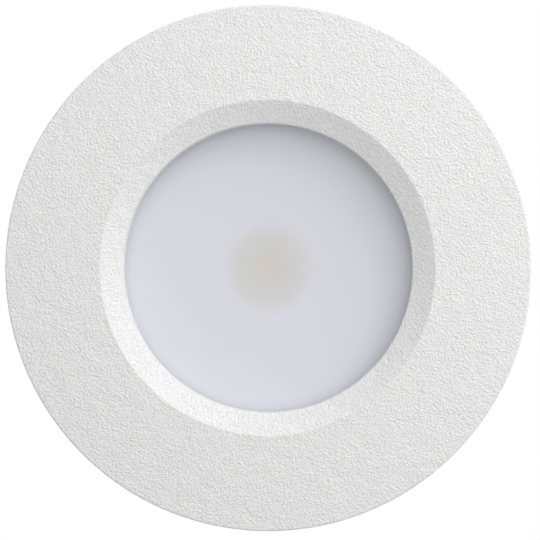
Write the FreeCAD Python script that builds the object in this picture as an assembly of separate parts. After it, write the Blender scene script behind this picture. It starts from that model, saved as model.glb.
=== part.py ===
import FreeCAD, Part
import math
import os

# A recessed soffit downlight, in millimetres. +Z points up into the soffit and the light
# leaves towards -Z. The origin is on the light's axis, and z = 0 is the soffit's underside.

# Lens, which sets the light's size across
LENS_RADIUS = 25.0
LENS_THICK = 3.0
LENS_EDGE_CHAMFER = 0.3
LENS_PLAY = 0.3  # round the lens in its pocket
LENS_SEAL_THICK = 0.8
LENS_SEAL_WIDTH = 1.8

# Trim ring
LEDGE_WIDTH = 2.4  # how far the ledge reaches in under the lens
LEDGE_DROP = 1.0  # the ledge's depth below the soffit's underside
RECESS_WALL = 3.0  # straight wall between the ledge and the chamfer
RECESS_DRAFT = 0.1
CHAMFER_WIDTH = 3.5
CHAMFER_RISE = 1.6
CREST_ROUND = 0.35
FACE_FALL = 1.2  # from the crest back to the face's edge
FACE_BULGE = 0.1  # of the domed face over its chord
EDGE_ROUND = 0.3
LIP_WIDTH = 1.2
LIP_GAP = 0.4  # between the lip and the soffit
TRIM_OVERLAP = 7.0  # the trim's reach past the cut-out
COLLAR_WALL = 3.3
SPIGOT_WALL = 1.3
SPIGOT_HEIGHT = 3.0  # above the soffit's underside
SPIGOT_MARGIN = 0.2  # of the spigot over the screw bosses
CUTOUT_PLAY = 0.5  # round the spigot in the soffit's cut-out

# Soffit gasket
GASKET_THICK = 1.6
GASKET_INSET = 0.6  # of the gasket's bore from the cut-out's edge
GASKET_EDGE_PLAY = 0.4

# Seals in grooves
SEAL_GROOVE_DEPTH = 1.0
SEAL_GROOVE_WIDTH = 1.3

# Reflector
REFLECTOR_HEIGHT = 10.5
REFLECTOR_RIM_HEIGHT = 3.2
REFLECTOR_RIM_WALL = 1.2
REFLECTOR_SKIRT = 1.4  # the rim's foot
REFLECTOR_MOUTH_STEP = 0.2  # of the cone's mouth inside the trim's mouth
REFLECTOR_THROAT_RADIUS = 6.2
REFLECTOR_WALL = 1.2

# LED and its holder
HOLDER_RADIUS = 15.2
HOLDER_HALF_DEPTH = 12.5
HOLDER_THICK = 2.7
HOLDER_APERTURE_RADIUS = 5.5
HOLDER_APERTURE_SLOPE = 0.9
HOLDER_SCREW_EDGE = 2.9  # of the screws' axes inside the holder's ends
HOLDER_SCREW_BITE = 3.5
HOLDER_POCKET_PLAY = 0.2
SUBSTRATE_SIDE = 16.0
SUBSTRATE_THICK = 1.0
THERMAL_PAD_THICK = 0.5
PHOSPHOR_RADIUS = 3.3
PHOSPHOR_THICK = 0.5
PHOSPHOR_ROUND = 0.2
POKE_IN_WIDTH = 6.0
POKE_IN_DEPTH = 2.1
POKE_IN_HEIGHT = 1.6
POKE_IN_HOLE_DEPTH = 1.2

# Heatsink housing
RIM_OVERLAP = 1.4  # of the housing's base over the reflector's rim
FRONT_WALL = 1.9
REAR_WALL = 3.0
FLANGE_THICK = 3.5
WEB_THICK = 4.0
FIN_REACH = 6.8
FIN_THICK = 1.6
FIN_STEP = 10.0  # degrees
FIN_CLEAR_OF_CLIP = 22.0  # degrees either side of a clip
FIN_CLEAR_OF_SCREW = 9.0  # degrees either side of a screw
FIN_TOP_DROP = 1.0
FIN_TOP_CHAMFER = 3.0
FIN_ROOT = 1.0  # sunk into the wall
CLIP_PAD_PROUD = 0.5  # of the flats that carry the clips
CLIP_PAD_MARGIN = 0.5

# Screws
BOSS_RADIUS = 3.3
BOSS_OFFSET = 1.4  # of the boss's axis outside the collar
BOSS_ROOT = 1.0  # of the boss sunk into the trim
M3_SHANK_RADIUS = 1.5
M3_HEAD_RADIUS = 2.8
M3_HEAD_HEIGHT = 1.9
M25_SHANK_RADIUS = 1.25
M25_HEAD_RADIUS = 2.3
M25_HEAD_HEIGHT = 1.2
HEAD_ROUND = 0.45
RECESS_SLOT_WIDTH = 0.6
RECESS_SLOT_SHARE = 0.62  # of the head's width
RECESS_SLOT_DEPTH = 0.75
SHANK_CHAMFER = 0.3
THREAD_PLAY = 0.02
THROUGH_PLAY = 0.2
HOLE_RUNOUT = 0.8  # of a blind hole past its screw
SHALLOW_RUNOUT = 0.2  # the same where the wall is thin
HOUSING_SCREW_BITE = 6.0
COVER_SCREW_BITE = 7.0
BOARD_SCREW_BITE = 5.0
BRACKET_SCREW_BITE = 2.6

# Driver
STANDOFF_HEIGHT = 4.0
STANDOFF_RADIUS = 2.6
BOARD_EDGE_GAP = 1.5
BOARD_THICK = 1.6
INDUCTOR_RADIUS = 5.0
INDUCTOR_HEIGHT = 6.0
INDUCTOR_NECK = 0.8
INDUCTOR_FLANGE = 1.2
CAPACITOR_RADIUS = 3.15
CAPACITOR_HEIGHT = 6.6
CAPACITOR_BASE = 0.8
CHIP_LENGTH = 5.0
CHIP_WIDTH = 3.9
CHIP_HEIGHT = 1.5
CHIP_COUNT = 3
BLOCK_LENGTH = 10.0
BLOCK_DEPTH = 8.0
BLOCK_HEIGHT = 8.0
BLOCK_CHAMFER = 1.0
BLOCK_WAY_SIDE = 3.0
BLOCK_WAY_DEPTH = 5.0
BLOCK_WAY_RISE = 1.4
TERMINAL_PITCH = 5.0
TERMINAL_SCREW_RADIUS = 1.4
TERMINAL_SCREW_HEIGHT = 2.4
TERMINAL_SCREW_SINK = 0.6
TERMINAL_WELL_PLAY = 0.15
TERMINAL_SLOT_WIDTH = 0.5
TERMINAL_SLOT_DEPTH = 0.7
CHAMBER_HEADROOM = 0.4  # between the terminal block and the gland

# Places on the driver board, as shares of its radius
STANDOFF_SHARE = 0.81
INDUCTOR_X_SHARE = -0.525
INDUCTOR_Y_SHARE = 0.07
CAPACITOR_X_SHARE = 0.5
CAPACITOR_Y_SHARE = 0.21
CAPACITOR_PITCH_SHARE = 0.352
CHIP_ROW_X_SHARE = -0.105
CHIP_ROW_Y_SHARE = -0.333
CHIP_ROW_PITCH_SHARE = 0.295
BLOCK_SHARE = 0.42

# Leads from the driver to the LED
LEAD_RADIUS = 0.7
LEAD_SPACING = 2.4
LEAD_PLAY = 0.05
LEAD_DROP = 2.8  # of the bend below the grommet, and its radius
GROMMET_HUB_RADIUS = 3.0
GROMMET_LIP_RADIUS = 3.8
GROMMET_LIP_THICK = 0.6

# Rear cover
COVER_THICK = 3.0
COVER_OVERHANG = 0.5
COVER_CHAMFER = 0.8
COVER_BOSS_RADIUS = 10.0
COVER_BOSS_HEIGHT = 0.5
COVER_SCREW_OFFSET = 2.7
LUG_RADIUS = 3.4

# Cable gland
GLAND_THREAD_RADIUS = 6.0
GLAND_FLATS = 15.0
GLAND_HEX_HEIGHT = 4.5
GLAND_COLLAR_HEIGHT = 6.0  # of the thread above the hexagon
GLAND_LOWER_BORE = 3.9
GLAND_TAIL = 1.0  # of the thread below the locknut
GLAND_WASHER_THICK = 0.8
GLAND_WASHER_WIDTH = 2.3
GLAND_SEAL_RADIUS = 4.6
GLAND_SEAL_PLAY = 0.05
GLAND_SEAL_FOOT = 0.5  # between the hexagon's top and the seal
GLAND_SEAL_STAND = 1.6  # of the seal over the collar
CABLE_BORE_RADIUS = 3.25
GLAND_NUT_GAP = 0.3
GLAND_NUT_LIP = 1.7
GLAND_OUTLET_RADIUS = 4.0
GLAND_CROWN_HEIGHT = 3.2
GLAND_CROWN_INSET = 1.8  # of the crown's top inside the flats
GLAND_CROWN_BULGE = 0.45
GLAND_HEX_CHAMFER = 0.6
LOCKNUT_FLATS = 16.0
LOCKNUT_HEIGHT = 4.0

# Spring clips, one on each side
BRACKET_THICK = 1.0
BRACKET_CORNER = 1.2
HINGE_RISE = 9.6  # of the pin above the bracket's lower screw
UPPER_SCREW_RISE = 7.0  # above the pin
BRACKET_TOP_MARGIN = 3.0
BRACKET_EAR_RADIUS = 3.0
PIN_RADIUS = 1.0
PIN_SEAT_PLAY = 0.02
PIN_HEAD_RADIUS = 1.7
PIN_HEAD_THICK = 0.8
PIN_RUNNING_PLAY = 0.05
ARM_SHEET = 0.9
ARM_LENGTH = 18.0  # from the pin to the foot's bend
ARM_REST_ANGLE = 72.0  # below the horizontal
ARM_EAR_RADIUS = 2.1
ARM_EAR_LOW = 1.2  # how far the flange stands over the web at its low end
ARM_EAR_LOW_END = 3.0  # of the flange, short of the bend
ARM_EAR_END = 1.5
ARM_SIDE_GAP = 0.25  # between the arm's ears and the bracket's
WEB_START = 7.0  # of the arm's web from the pin
FOOT_LENGTH = 5.4
FOOT_BEND = 52.0  # degrees
FOOT_BEND_RADIUS = 1.0
FOOT_HALF_WIDTH = 3.4
PAD_WALL = 0.9
PAD_START = 0.8  # of the pad along the foot
PAD_POCKET_PLAY = 0.05
PAD_ROUND = 0.35
STOP_ALONG = 12.5  # where the resting arm meets its stop, from the pin
STOP_HALF_WIDTH = 2.4
STOP_GAP = 0.05

# Torsion spring round each pin
SPRING_WIRE_RADIUS = 0.4
SPRING_MEAN_RADIUS = 1.9
SPRING_PITCH = 1.35
SPRING_FULL_TURNS = 4
SPRING_LEG_GAP = 0.1  # to the plate and to the arm
SPRING_SIDE_GAP = 0.4
SPRING_FIXED_LEG = 4.6
SPRING_MOVING_LEG = 10.5

# Angles round the axis, in degrees
TRIM_SCREW_ANGLES = (90.0, 210.0, 330.0)
COVER_SCREW_ANGLES = (30.0, 150.0, 270.0)
CLIP_ANGLES = {"right": 0.0, "left": 180.0}

# Worked out from the sizes above: radii
POCKET_RADIUS = LENS_RADIUS + LENS_PLAY
MOUTH_RADIUS = LENS_RADIUS - LEDGE_WIDTH
CREST_RADIUS = MOUTH_RADIUS + CHAMFER_WIDTH
COLLAR_RADIUS = POCKET_RADIUS + COLLAR_WALL
TRIM_SCREW_CIRCLE = COLLAR_RADIUS + BOSS_OFFSET
SPIGOT_RADIUS = TRIM_SCREW_CIRCLE + BOSS_RADIUS + SPIGOT_MARGIN
CUTOUT_RADIUS = SPIGOT_RADIUS + CUTOUT_PLAY
TRIM_RADIUS = CUTOUT_RADIUS + TRIM_OVERLAP
CAVITY_RADIUS = LENS_RADIUS - RIM_OVERLAP
BODY_RADIUS = CAVITY_RADIUS + FRONT_WALL
CHAMBER_RADIUS = BODY_RADIUS - REAR_WALL
BOARD_RADIUS = CHAMBER_RADIUS - BOARD_EDGE_GAP
STANDOFF_CIRCLE = BOARD_RADIUS * STANDOFF_SHARE
HOLDER_SCREW_CIRCLE = HOLDER_RADIUS - HOLDER_SCREW_EDGE
LEAD_CIRCLE = (HOLDER_HALF_DEPTH + CAVITY_RADIUS) / 2
COVER_SCREW_CIRCLE = BODY_RADIUS + COVER_SCREW_OFFSET
HOUSING_SEAL_RADIUS = (POCKET_RADIUS + COLLAR_RADIUS) / 2
COVER_SEAL_RADIUS = (CHAMBER_RADIUS + BODY_RADIUS) / 2

# Worked out from the sizes above: places on the board
INDUCTOR_X = BOARD_RADIUS * INDUCTOR_X_SHARE
INDUCTOR_Y = BOARD_RADIUS * INDUCTOR_Y_SHARE
CAPACITOR_X = BOARD_RADIUS * CAPACITOR_X_SHARE
CAPACITOR_Y = BOARD_RADIUS * CAPACITOR_Y_SHARE
CAPACITOR_PITCH = BOARD_RADIUS * CAPACITOR_PITCH_SHARE
CHIP_ROW_X = BOARD_RADIUS * CHIP_ROW_X_SHARE
CHIP_ROW_Y = BOARD_RADIUS * CHIP_ROW_Y_SHARE
CHIP_ROW_PITCH = BOARD_RADIUS * CHIP_ROW_PITCH_SHARE
BLOCK_Y = BOARD_RADIUS * BLOCK_SHARE

# Worked out from the sizes above: heights
LEDGE_Z = -LEDGE_DROP
MOUTH_Z = LEDGE_Z - RECESS_WALL
CREST_Z = MOUTH_Z - CHAMFER_RISE
FACE_EDGE_Z = CREST_Z + FACE_FALL
LENS_Z = LEDGE_Z + LENS_SEAL_THICK
LENS_TOP_Z = LENS_Z + LENS_THICK
BASE_Z = LENS_TOP_Z + REFLECTOR_RIM_HEIGHT
FLANGE_TOP_Z = BASE_Z + FLANGE_THICK
HOLDER_Z = LENS_TOP_Z + REFLECTOR_HEIGHT
WEB_Z = HOLDER_Z + HOLDER_THICK
SUBSTRATE_Z = WEB_Z - THERMAL_PAD_THICK - SUBSTRATE_THICK
WEB_TOP_Z = WEB_Z + WEB_THICK
BOARD_Z = WEB_TOP_Z + STANDOFF_HEIGHT
BOARD_TOP_Z = BOARD_Z + BOARD_THICK
LOCKNUT_Z = BOARD_TOP_Z + BLOCK_HEIGHT + CHAMBER_HEADROOM + GLAND_TAIL
RIM_Z = LOCKNUT_Z + LOCKNUT_HEIGHT
COVER_TOP_Z = RIM_Z + COVER_THICK
GLAND_SEAT_Z = COVER_TOP_Z + COVER_BOSS_HEIGHT
GLAND_HEX_Z = GLAND_SEAT_Z + GLAND_WASHER_THICK
GLAND_COLLAR_Z = GLAND_HEX_Z + GLAND_HEX_HEIGHT
GLAND_COLLAR_TOP_Z = GLAND_COLLAR_Z + GLAND_COLLAR_HEIGHT
GLAND_SEAL_Z = GLAND_COLLAR_Z + GLAND_SEAL_FOOT
GLAND_SEAL_TOP_Z = GLAND_COLLAR_TOP_Z + GLAND_SEAL_STAND
GLAND_NUT_Z = GLAND_COLLAR_Z + GLAND_NUT_GAP
GLAND_TOP_Z = GLAND_SEAL_TOP_Z + GLAND_NUT_LIP

# Worked out from the sizes above: clips, for the one on the +X side
BRACKET_X = BODY_RADIUS + CLIP_PAD_PROUD
BRACKET_FACE_X = BRACKET_X + BRACKET_THICK
HINGE_X = BRACKET_FACE_X + SPRING_LEG_GAP + SPRING_WIRE_RADIUS + SPRING_MEAN_RADIUS
LOWER_SCREW_Z = (WEB_Z + WEB_TOP_Z) / 2
HINGE_Z = LOWER_SCREW_Z + HINGE_RISE
UPPER_SCREW_Z = HINGE_Z + UPPER_SCREW_RISE
BRACKET_TOP_Z = UPPER_SCREW_Z + BRACKET_TOP_MARGIN
SPRING_TWIST = 360.0 * SPRING_FULL_TURNS + 90.0 - ARM_REST_ANGLE  # degrees between the legs
SPRING_LENGTH = SPRING_PITCH * SPRING_TWIST / 360.0  # between the legs, along the pin
ARM_INNER_Y = SPRING_LENGTH / 2 + SPRING_WIRE_RADIUS + SPRING_SIDE_GAP
ARM_OUTER_Y = ARM_INNER_Y + ARM_SHEET
EAR_INNER_Y = ARM_OUTER_Y + ARM_SIDE_GAP
EAR_OUTER_Y = EAR_INNER_Y + BRACKET_THICK
WEB_NEAR = SPRING_MEAN_RADIUS + SPRING_WIRE_RADIUS + SPRING_LEG_GAP  # web from the pin
WEB_FAR = WEB_NEAR + ARM_SHEET
REST_COS = math.cos(math.radians(ARM_REST_ANGLE))
REST_SIN = math.sin(math.radians(ARM_REST_ANGLE))
STOP_TOP_Z = HINGE_Z - STOP_ALONG * REST_SIN - WEB_FAR * REST_COS
STOP_Z = STOP_TOP_Z - BRACKET_THICK
STOP_X = HINGE_X + STOP_ALONG * REST_COS - WEB_FAR * REST_SIN - STOP_GAP / REST_SIN

UP = FreeCAD.Vector(0, 0, 1)
ORIGIN = FreeCAD.Vector(0, 0, 0)


def point(x, y, z):
    return FreeCAD.Vector(x, y, z)


def polar(radius, degrees):
    """The x and y of a point at this radius and angle round the axis."""
    turn = math.radians(degrees)
    return radius * math.cos(turn), radius * math.sin(turn)


def disc(radius, low, high, x=0.0, y=0.0):
    """An upright cylinder between two heights."""
    return Part.makeCylinder(radius, high - low, point(x, y, low))


def ring(inner, outer, low, high):
    return disc(outer, low, high).cut(disc(inner, low, high))


def block(low, high):
    """A box between two opposite corners, each as x, y and z."""
    sides = [b - a for a, b in zip(low, high)]
    return Part.makeBox(*sides, point(*low))


def hexagon(flats, low, high):
    """An upright hexagonal prism with this width across its flats."""
    corner = flats / math.sqrt(3)
    corners = [point(*polar(corner, 60 * k), low) for k in range(6)]
    return Part.Face(Part.makePolygon(corners + corners[:1])).extrude(UP * (high - low))


def side_face(start, *steps):
    """A face in the XZ plane. A step is an (x, z) end point, or (middle, end) for an arc."""
    edges = []
    here = point(start[0], 0, start[1])
    for step in (*steps, start):
        arc = isinstance(step[0], tuple)
        end = step[1] if arc else step
        there = point(end[0], 0, end[1])
        if (there - here).Length > 1e-6:
            if arc:
                middle = point(step[0][0], 0, step[0][1])
                edges.append(Part.Arc(here, middle, there).toShape())
            else:
                edges.append(Part.LineSegment(here, there).toShape())
        here = there
    return Part.Face(Part.Wire(edges))


def turned(face):
    """The solid that a side face makes when it turns round the axis."""
    return face.revolve(ORIGIN, UP, 360)


def across(face, low, high):
    """A side face made into a slab between two values of y."""
    slab = face.extrude(point(0, high - low, 0))
    slab.translate(point(0, low, 0))
    return slab


def spun(shape, degrees):
    """A copy turned round the light's axis."""
    copy = shape.copy()
    copy.rotate(ORIGIN, UP, degrees)
    return copy


def around(shape, angles):
    return [spun(shape, angle) for angle in angles]


def moved(shape, x, y, z):
    copy = shape.copy()
    copy.translate(point(x, y, z))
    return copy


def joined(first, *others):
    return first.fuse(list(others)).removeSplitter()


def circles_at(shape, radius, height):
    """The shape's full circles round the axis at this radius and height."""
    near = 1e-4
    return [
        edge
        for edge in shape.Edges
        if isinstance(edge.Curve, Part.Circle)
        and abs(edge.Curve.Radius - radius) < near
        and abs(edge.Curve.Center.z - height) < near
        and math.hypot(edge.Curve.Center.x, edge.Curve.Center.y) < near
    ]


def pan_screw(shank_radius, shank_length, head_radius, head_height):
    """A pan-head screw standing on z = 0, its shank below and a cross recess in its head."""
    bend = HEAD_ROUND * (1 - math.sqrt(0.5))
    screw = turned(
        side_face(
            (0, -shank_length),
            (shank_radius - SHANK_CHAMFER, -shank_length),
            (shank_radius, SHANK_CHAMFER - shank_length),
            (shank_radius, 0),
            (head_radius, 0),
            (head_radius, head_height - HEAD_ROUND),
            (
                (head_radius - bend, head_height - bend),
                (head_radius - HEAD_ROUND, head_height),
            ),
            (0, head_height),
        )
    )
    reach = head_radius * RECESS_SLOT_SHARE
    half = RECESS_SLOT_WIDTH / 2
    floor = head_height - RECESS_SLOT_DEPTH
    slots = block((-reach, -half, floor), (reach, half, head_height))
    return screw.cut([slots, spun(slots, 90)])


def m3_screw(shank_length):
    return pan_screw(M3_SHANK_RADIUS, shank_length, M3_HEAD_RADIUS, M3_HEAD_HEIGHT)


def m25_screw(shank_length):
    return pan_screw(M25_SHANK_RADIUS, shank_length, M25_HEAD_RADIUS, M25_HEAD_HEIGHT)


# Trim, gasket and lens


def trim_screw_length():
    return FLANGE_THICK + HOUSING_SCREW_BITE


def trim_ring():
    """The white bezel: domed face, crest, chamfer, recess, lens pocket, collar and spigot."""
    middle = (
        (CREST_RADIUS + TRIM_RADIUS) / 2,
        (CREST_Z + FACE_EDGE_Z) / 2 - FACE_BULGE,
    )
    floor = -GASKET_THICK
    trim = turned(
        side_face(
            (MOUTH_RADIUS - RECESS_DRAFT, LEDGE_Z),
            (MOUTH_RADIUS, MOUTH_Z),
            (CREST_RADIUS, CREST_Z),
            (middle, (TRIM_RADIUS, FACE_EDGE_Z)),
            (TRIM_RADIUS, -LIP_GAP),
            (TRIM_RADIUS - LIP_WIDTH, -LIP_GAP),
            (TRIM_RADIUS - LIP_WIDTH, floor),
            (SPIGOT_RADIUS, floor),
            (SPIGOT_RADIUS, SPIGOT_HEIGHT),
            (SPIGOT_RADIUS - SPIGOT_WALL, SPIGOT_HEIGHT),
            (SPIGOT_RADIUS - SPIGOT_WALL, floor),
            (COLLAR_RADIUS, floor),
            (COLLAR_RADIUS, BASE_Z),
            (POCKET_RADIUS, BASE_Z),
            (POCKET_RADIUS, LEDGE_Z),
        )
    )
    trim = trim.makeFillet(CREST_ROUND, circles_at(trim, CREST_RADIUS, CREST_Z))
    trim = trim.makeFillet(EDGE_ROUND, circles_at(trim, TRIM_RADIUS, FACE_EDGE_Z))
    boss = disc(BOSS_RADIUS, floor - BOSS_ROOT, BASE_Z, TRIM_SCREW_CIRCLE)
    boss = boss.cut(disc(POCKET_RADIUS + COLLAR_WALL / 2, floor - BOSS_ROOT, BASE_Z))
    trim = joined(trim, *around(boss, TRIM_SCREW_ANGLES))
    hole_floor = FLANGE_TOP_Z - trim_screw_length() - HOLE_RUNOUT
    hole = disc(M3_SHANK_RADIUS + THREAD_PLAY, hole_floor, BASE_Z, TRIM_SCREW_CIRCLE)
    groove = seal_ring(HOUSING_SEAL_RADIUS, BASE_Z)
    return trim.cut([groove, *around(hole, TRIM_SCREW_ANGLES)])


def seal_ring(radius, top):
    """A flat seal of the groove's own section, its top flush with the groove's mouth."""
    half = SEAL_GROOVE_WIDTH / 2
    return ring(radius - half, radius + half, top - SEAL_GROOVE_DEPTH, top)


def ceiling_gasket():
    outer = TRIM_RADIUS - LIP_WIDTH - GASKET_EDGE_PLAY
    return ring(CUTOUT_RADIUS + GASKET_INSET, outer, -GASKET_THICK, 0)


def lens_gasket():
    return ring(LENS_RADIUS - LENS_SEAL_WIDTH, LENS_RADIUS, LEDGE_Z, LENS_Z)


def diffuser_lens():
    lens = disc(LENS_RADIUS, LENS_Z, LENS_TOP_Z)
    rims = circles_at(lens, LENS_RADIUS, LENS_Z) + circles_at(lens, LENS_RADIUS, LENS_TOP_Z)
    return lens.makeChamfer(LENS_EDGE_CHAMFER, rims)


def reflector():
    """A conical cup. Its rim presses the lens down and is itself held by the housing."""
    mouth = MOUTH_RADIUS - REFLECTOR_MOUTH_STEP
    skirt = LENS_TOP_Z + REFLECTOR_SKIRT
    slope = (mouth - REFLECTOR_THROAT_RADIUS) / REFLECTOR_HEIGHT
    return turned(
        side_face(
            (mouth, LENS_TOP_Z),
            (LENS_RADIUS, LENS_TOP_Z),
            (LENS_RADIUS, BASE_Z),
            (LENS_RADIUS - REFLECTOR_RIM_WALL, BASE_Z),
            (LENS_RADIUS - REFLECTOR_RIM_WALL, skirt),
            (mouth - slope * REFLECTOR_SKIRT + REFLECTOR_WALL, skirt),
            (REFLECTOR_THROAT_RADIUS + REFLECTOR_WALL, HOLDER_Z),
            (REFLECTOR_THROAT_RADIUS, HOLDER_Z),
        )
    )


# LED


def holder_screw_places():
    return [(-HOLDER_SCREW_CIRCLE, 0.0), (HOLDER_SCREW_CIRCLE, 0.0)]


def led_holder():
    """The plate that clamps the LED to the housing's web, with push-in terminals below."""
    holder = disc(HOLDER_RADIUS, HOLDER_Z, WEB_Z).common(
        block(
            (-HOLDER_RADIUS, -HOLDER_HALF_DEPTH, HOLDER_Z),
            (HOLDER_RADIUS, HOLDER_HALF_DEPTH, WEB_Z),
        )
    )
    half = POKE_IN_WIDTH / 2
    poke_in = block(
        (-half, -HOLDER_HALF_DEPTH, HOLDER_Z - POKE_IN_HEIGHT),
        (half, POKE_IN_DEPTH - HOLDER_HALF_DEPTH, HOLDER_Z),
    )
    holder = joined(holder, poke_in)
    side = SUBSTRATE_SIDE / 2 + HOLDER_POCKET_PLAY
    pocket = block((-side, -side, SUBSTRATE_Z), (side, side, WEB_Z))
    aperture = Part.makeCone(
        HOLDER_APERTURE_RADIUS,
        HOLDER_APERTURE_RADIUS - HOLDER_APERTURE_SLOPE,
        SUBSTRATE_Z - HOLDER_Z,
        point(0, 0, HOLDER_Z),
    )
    screw_hole = M25_SHANK_RADIUS + THROUGH_PLAY
    holes = [disc(screw_hole, HOLDER_Z, WEB_Z, x, y) for x, y in holder_screw_places()]
    for x in (-LEAD_SPACING / 2, LEAD_SPACING / 2):
        mouth = point(x, -HOLDER_HALF_DEPTH, lead_low_z())
        way = Part.makeCylinder(
            LEAD_RADIUS + LEAD_PLAY, POKE_IN_HOLE_DEPTH, mouth, point(0, 1, 0)
        )
        holes.append(way)
    return holder.cut([pocket, aperture, *holes])


def holder_screws():
    screw = m25_screw(HOLDER_THICK + HOLDER_SCREW_BITE)
    screw.rotate(ORIGIN, point(1, 0, 0), 180)
    return [moved(screw, x, y, HOLDER_Z) for x, y in holder_screw_places()]


def cob_substrate():
    half = SUBSTRATE_SIDE / 2
    low = (-half, -half, SUBSTRATE_Z)
    return block(low, (half, half, SUBSTRATE_Z + SUBSTRATE_THICK))


def cob_phosphor():
    low = SUBSTRATE_Z - PHOSPHOR_THICK
    phosphor = disc(PHOSPHOR_RADIUS, low, SUBSTRATE_Z)
    return phosphor.makeFillet(PHOSPHOR_ROUND, circles_at(phosphor, PHOSPHOR_RADIUS, low))


def thermal_pad():
    half = SUBSTRATE_SIDE / 2
    return block((-half, -half, WEB_Z - THERMAL_PAD_THICK), (half, half, WEB_Z))


# Housing


def fin_angles():
    """Multiples of the fin step that are clear of the clips, screws and lugs."""

    def apart(a, b):
        return abs((a - b + 180.0) % 360.0 - 180.0)

    kept = []
    for k in range(int(360.0 / FIN_STEP)):
        angle = k * FIN_STEP
        clear = all(apart(angle, a) > FIN_CLEAR_OF_CLIP for a in CLIP_ANGLES.values())
        for other in TRIM_SCREW_ANGLES + COVER_SCREW_ANGLES:
            clear = clear and apart(angle, other) > FIN_CLEAR_OF_SCREW
        if clear:
            kept.append(angle)
    return kept


def fin():
    outer = BODY_RADIUS + FIN_REACH
    top = RIM_Z - FIN_TOP_DROP
    face = side_face(
        (BODY_RADIUS - FIN_ROOT, FLANGE_TOP_Z),
        (outer, FLANGE_TOP_Z),
        (outer, top - FIN_TOP_CHAMFER),
        (outer - FIN_TOP_CHAMFER, top),
        (BODY_RADIUS - FIN_ROOT, top),
    )
    return across(face, -FIN_THICK / 2, FIN_THICK / 2)


def clip_flat():
    """The flat on the housing's side that one clip's bracket is screwed to."""
    return block(
        (BODY_RADIUS - REAR_WALL / 2, -EAR_OUTER_Y - CLIP_PAD_MARGIN, STOP_Z - CLIP_PAD_MARGIN),
        (BRACKET_X, EAR_OUTER_Y + CLIP_PAD_MARGIN, BRACKET_TOP_Z + CLIP_PAD_MARGIN),
    )


def bracket_screw_hole(height):
    start = point(BRACKET_X, 0, height)
    depth = BRACKET_SCREW_BITE + SHALLOW_RUNOUT
    return Part.makeCylinder(M25_SHANK_RADIUS + THREAD_PLAY, depth, start, point(-1, 0, 0))


def heatsink_housing():
    """The cast body: base flange, LED cavity, web, driver chamber, fins, flats and lugs."""
    body = turned(
        side_face(
            (CAVITY_RADIUS, BASE_Z),
            (COLLAR_RADIUS, BASE_Z),
            (COLLAR_RADIUS, FLANGE_TOP_Z),
            (BODY_RADIUS, FLANGE_TOP_Z),
            (BODY_RADIUS, RIM_Z),
            (CHAMBER_RADIUS, RIM_Z),
            (CHAMBER_RADIUS, WEB_TOP_Z),
            (0, WEB_TOP_Z),
            (0, WEB_Z),
            (CAVITY_RADIUS, WEB_Z),
        )
    )
    ear = disc(BOSS_RADIUS, BASE_Z, FLANGE_TOP_Z, TRIM_SCREW_CIRCLE)
    ear = ear.cut(disc(BODY_RADIUS, BASE_Z, FLANGE_TOP_Z))
    lug = disc(LUG_RADIUS, FLANGE_TOP_Z, RIM_Z, COVER_SCREW_CIRCLE)
    lug = lug.cut(disc(BODY_RADIUS - REAR_WALL / 2, FLANGE_TOP_Z, RIM_Z))
    lug_on_web = lug.cut(disc(BODY_RADIUS - FRONT_WALL / 2, FLANGE_TOP_Z, WEB_Z))
    standoff = disc(STANDOFF_RADIUS, WEB_TOP_Z - WEB_THICK / 2, BOARD_Z, STANDOFF_CIRCLE)
    solids = [
        *around(ear, TRIM_SCREW_ANGLES),
        *around(lug_on_web, COVER_SCREW_ANGLES),
        *around(standoff, TRIM_SCREW_ANGLES),
        *around(fin(), fin_angles()),
        *around(clip_flat(), CLIP_ANGLES.values()),
    ]
    body = joined(body, *solids)
    return body.cut(housing_holes())


def housing_holes():
    through = disc(M3_SHANK_RADIUS + THROUGH_PLAY, BASE_Z, FLANGE_TOP_Z, TRIM_SCREW_CIRCLE)
    lug_floor = RIM_Z - COVER_SCREW_BITE - HOLE_RUNOUT
    lug_hole = disc(M3_SHANK_RADIUS + THREAD_PLAY, lug_floor, RIM_Z, COVER_SCREW_CIRCLE)
    board_floor = BOARD_Z - BOARD_SCREW_BITE - HOLE_RUNOUT
    board_hole = disc(M25_SHANK_RADIUS + THREAD_PLAY, board_floor, BOARD_Z, STANDOFF_CIRCLE)
    holder_hole = M25_SHANK_RADIUS + THREAD_PLAY
    holder_depth = WEB_Z + HOLDER_SCREW_BITE + SHALLOW_RUNOUT
    bracket_holes = [bracket_screw_hole(z) for z in (LOWER_SCREW_Z, UPPER_SCREW_Z)]
    holes = [
        seal_ring(COVER_SEAL_RADIUS, RIM_Z),
        disc(GROMMET_HUB_RADIUS, WEB_Z, WEB_TOP_Z, 0, -LEAD_CIRCLE),
        *around(through, TRIM_SCREW_ANGLES),
        *around(lug_hole, COVER_SCREW_ANGLES),
        *around(board_hole, TRIM_SCREW_ANGLES),
        *[disc(holder_hole, WEB_Z, holder_depth, x, y) for x, y in holder_screw_places()],
    ]
    for angle in CLIP_ANGLES.values():
        holes += [spun(hole, angle) for hole in bracket_holes]
    return holes


def housing_seal():
    return seal_ring(HOUSING_SEAL_RADIUS, BASE_Z)


def housing_screws():
    screw = moved(m3_screw(trim_screw_length()), TRIM_SCREW_CIRCLE, 0, FLANGE_TOP_Z)
    return around(screw, TRIM_SCREW_ANGLES)


# Driver


def driver_board():
    board = disc(BOARD_RADIUS, BOARD_Z, BOARD_TOP_Z)
    hole = disc(M25_SHANK_RADIUS + THROUGH_PLAY, BOARD_Z, BOARD_TOP_Z, STANDOFF_CIRCLE)
    return board.cut(around(hole, TRIM_SCREW_ANGLES))


def board_screws():
    screw = moved(m25_screw(BOARD_THICK + BOARD_SCREW_BITE), STANDOFF_CIRCLE, 0, BOARD_TOP_Z)
    return around(screw, TRIM_SCREW_ANGLES)


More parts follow.
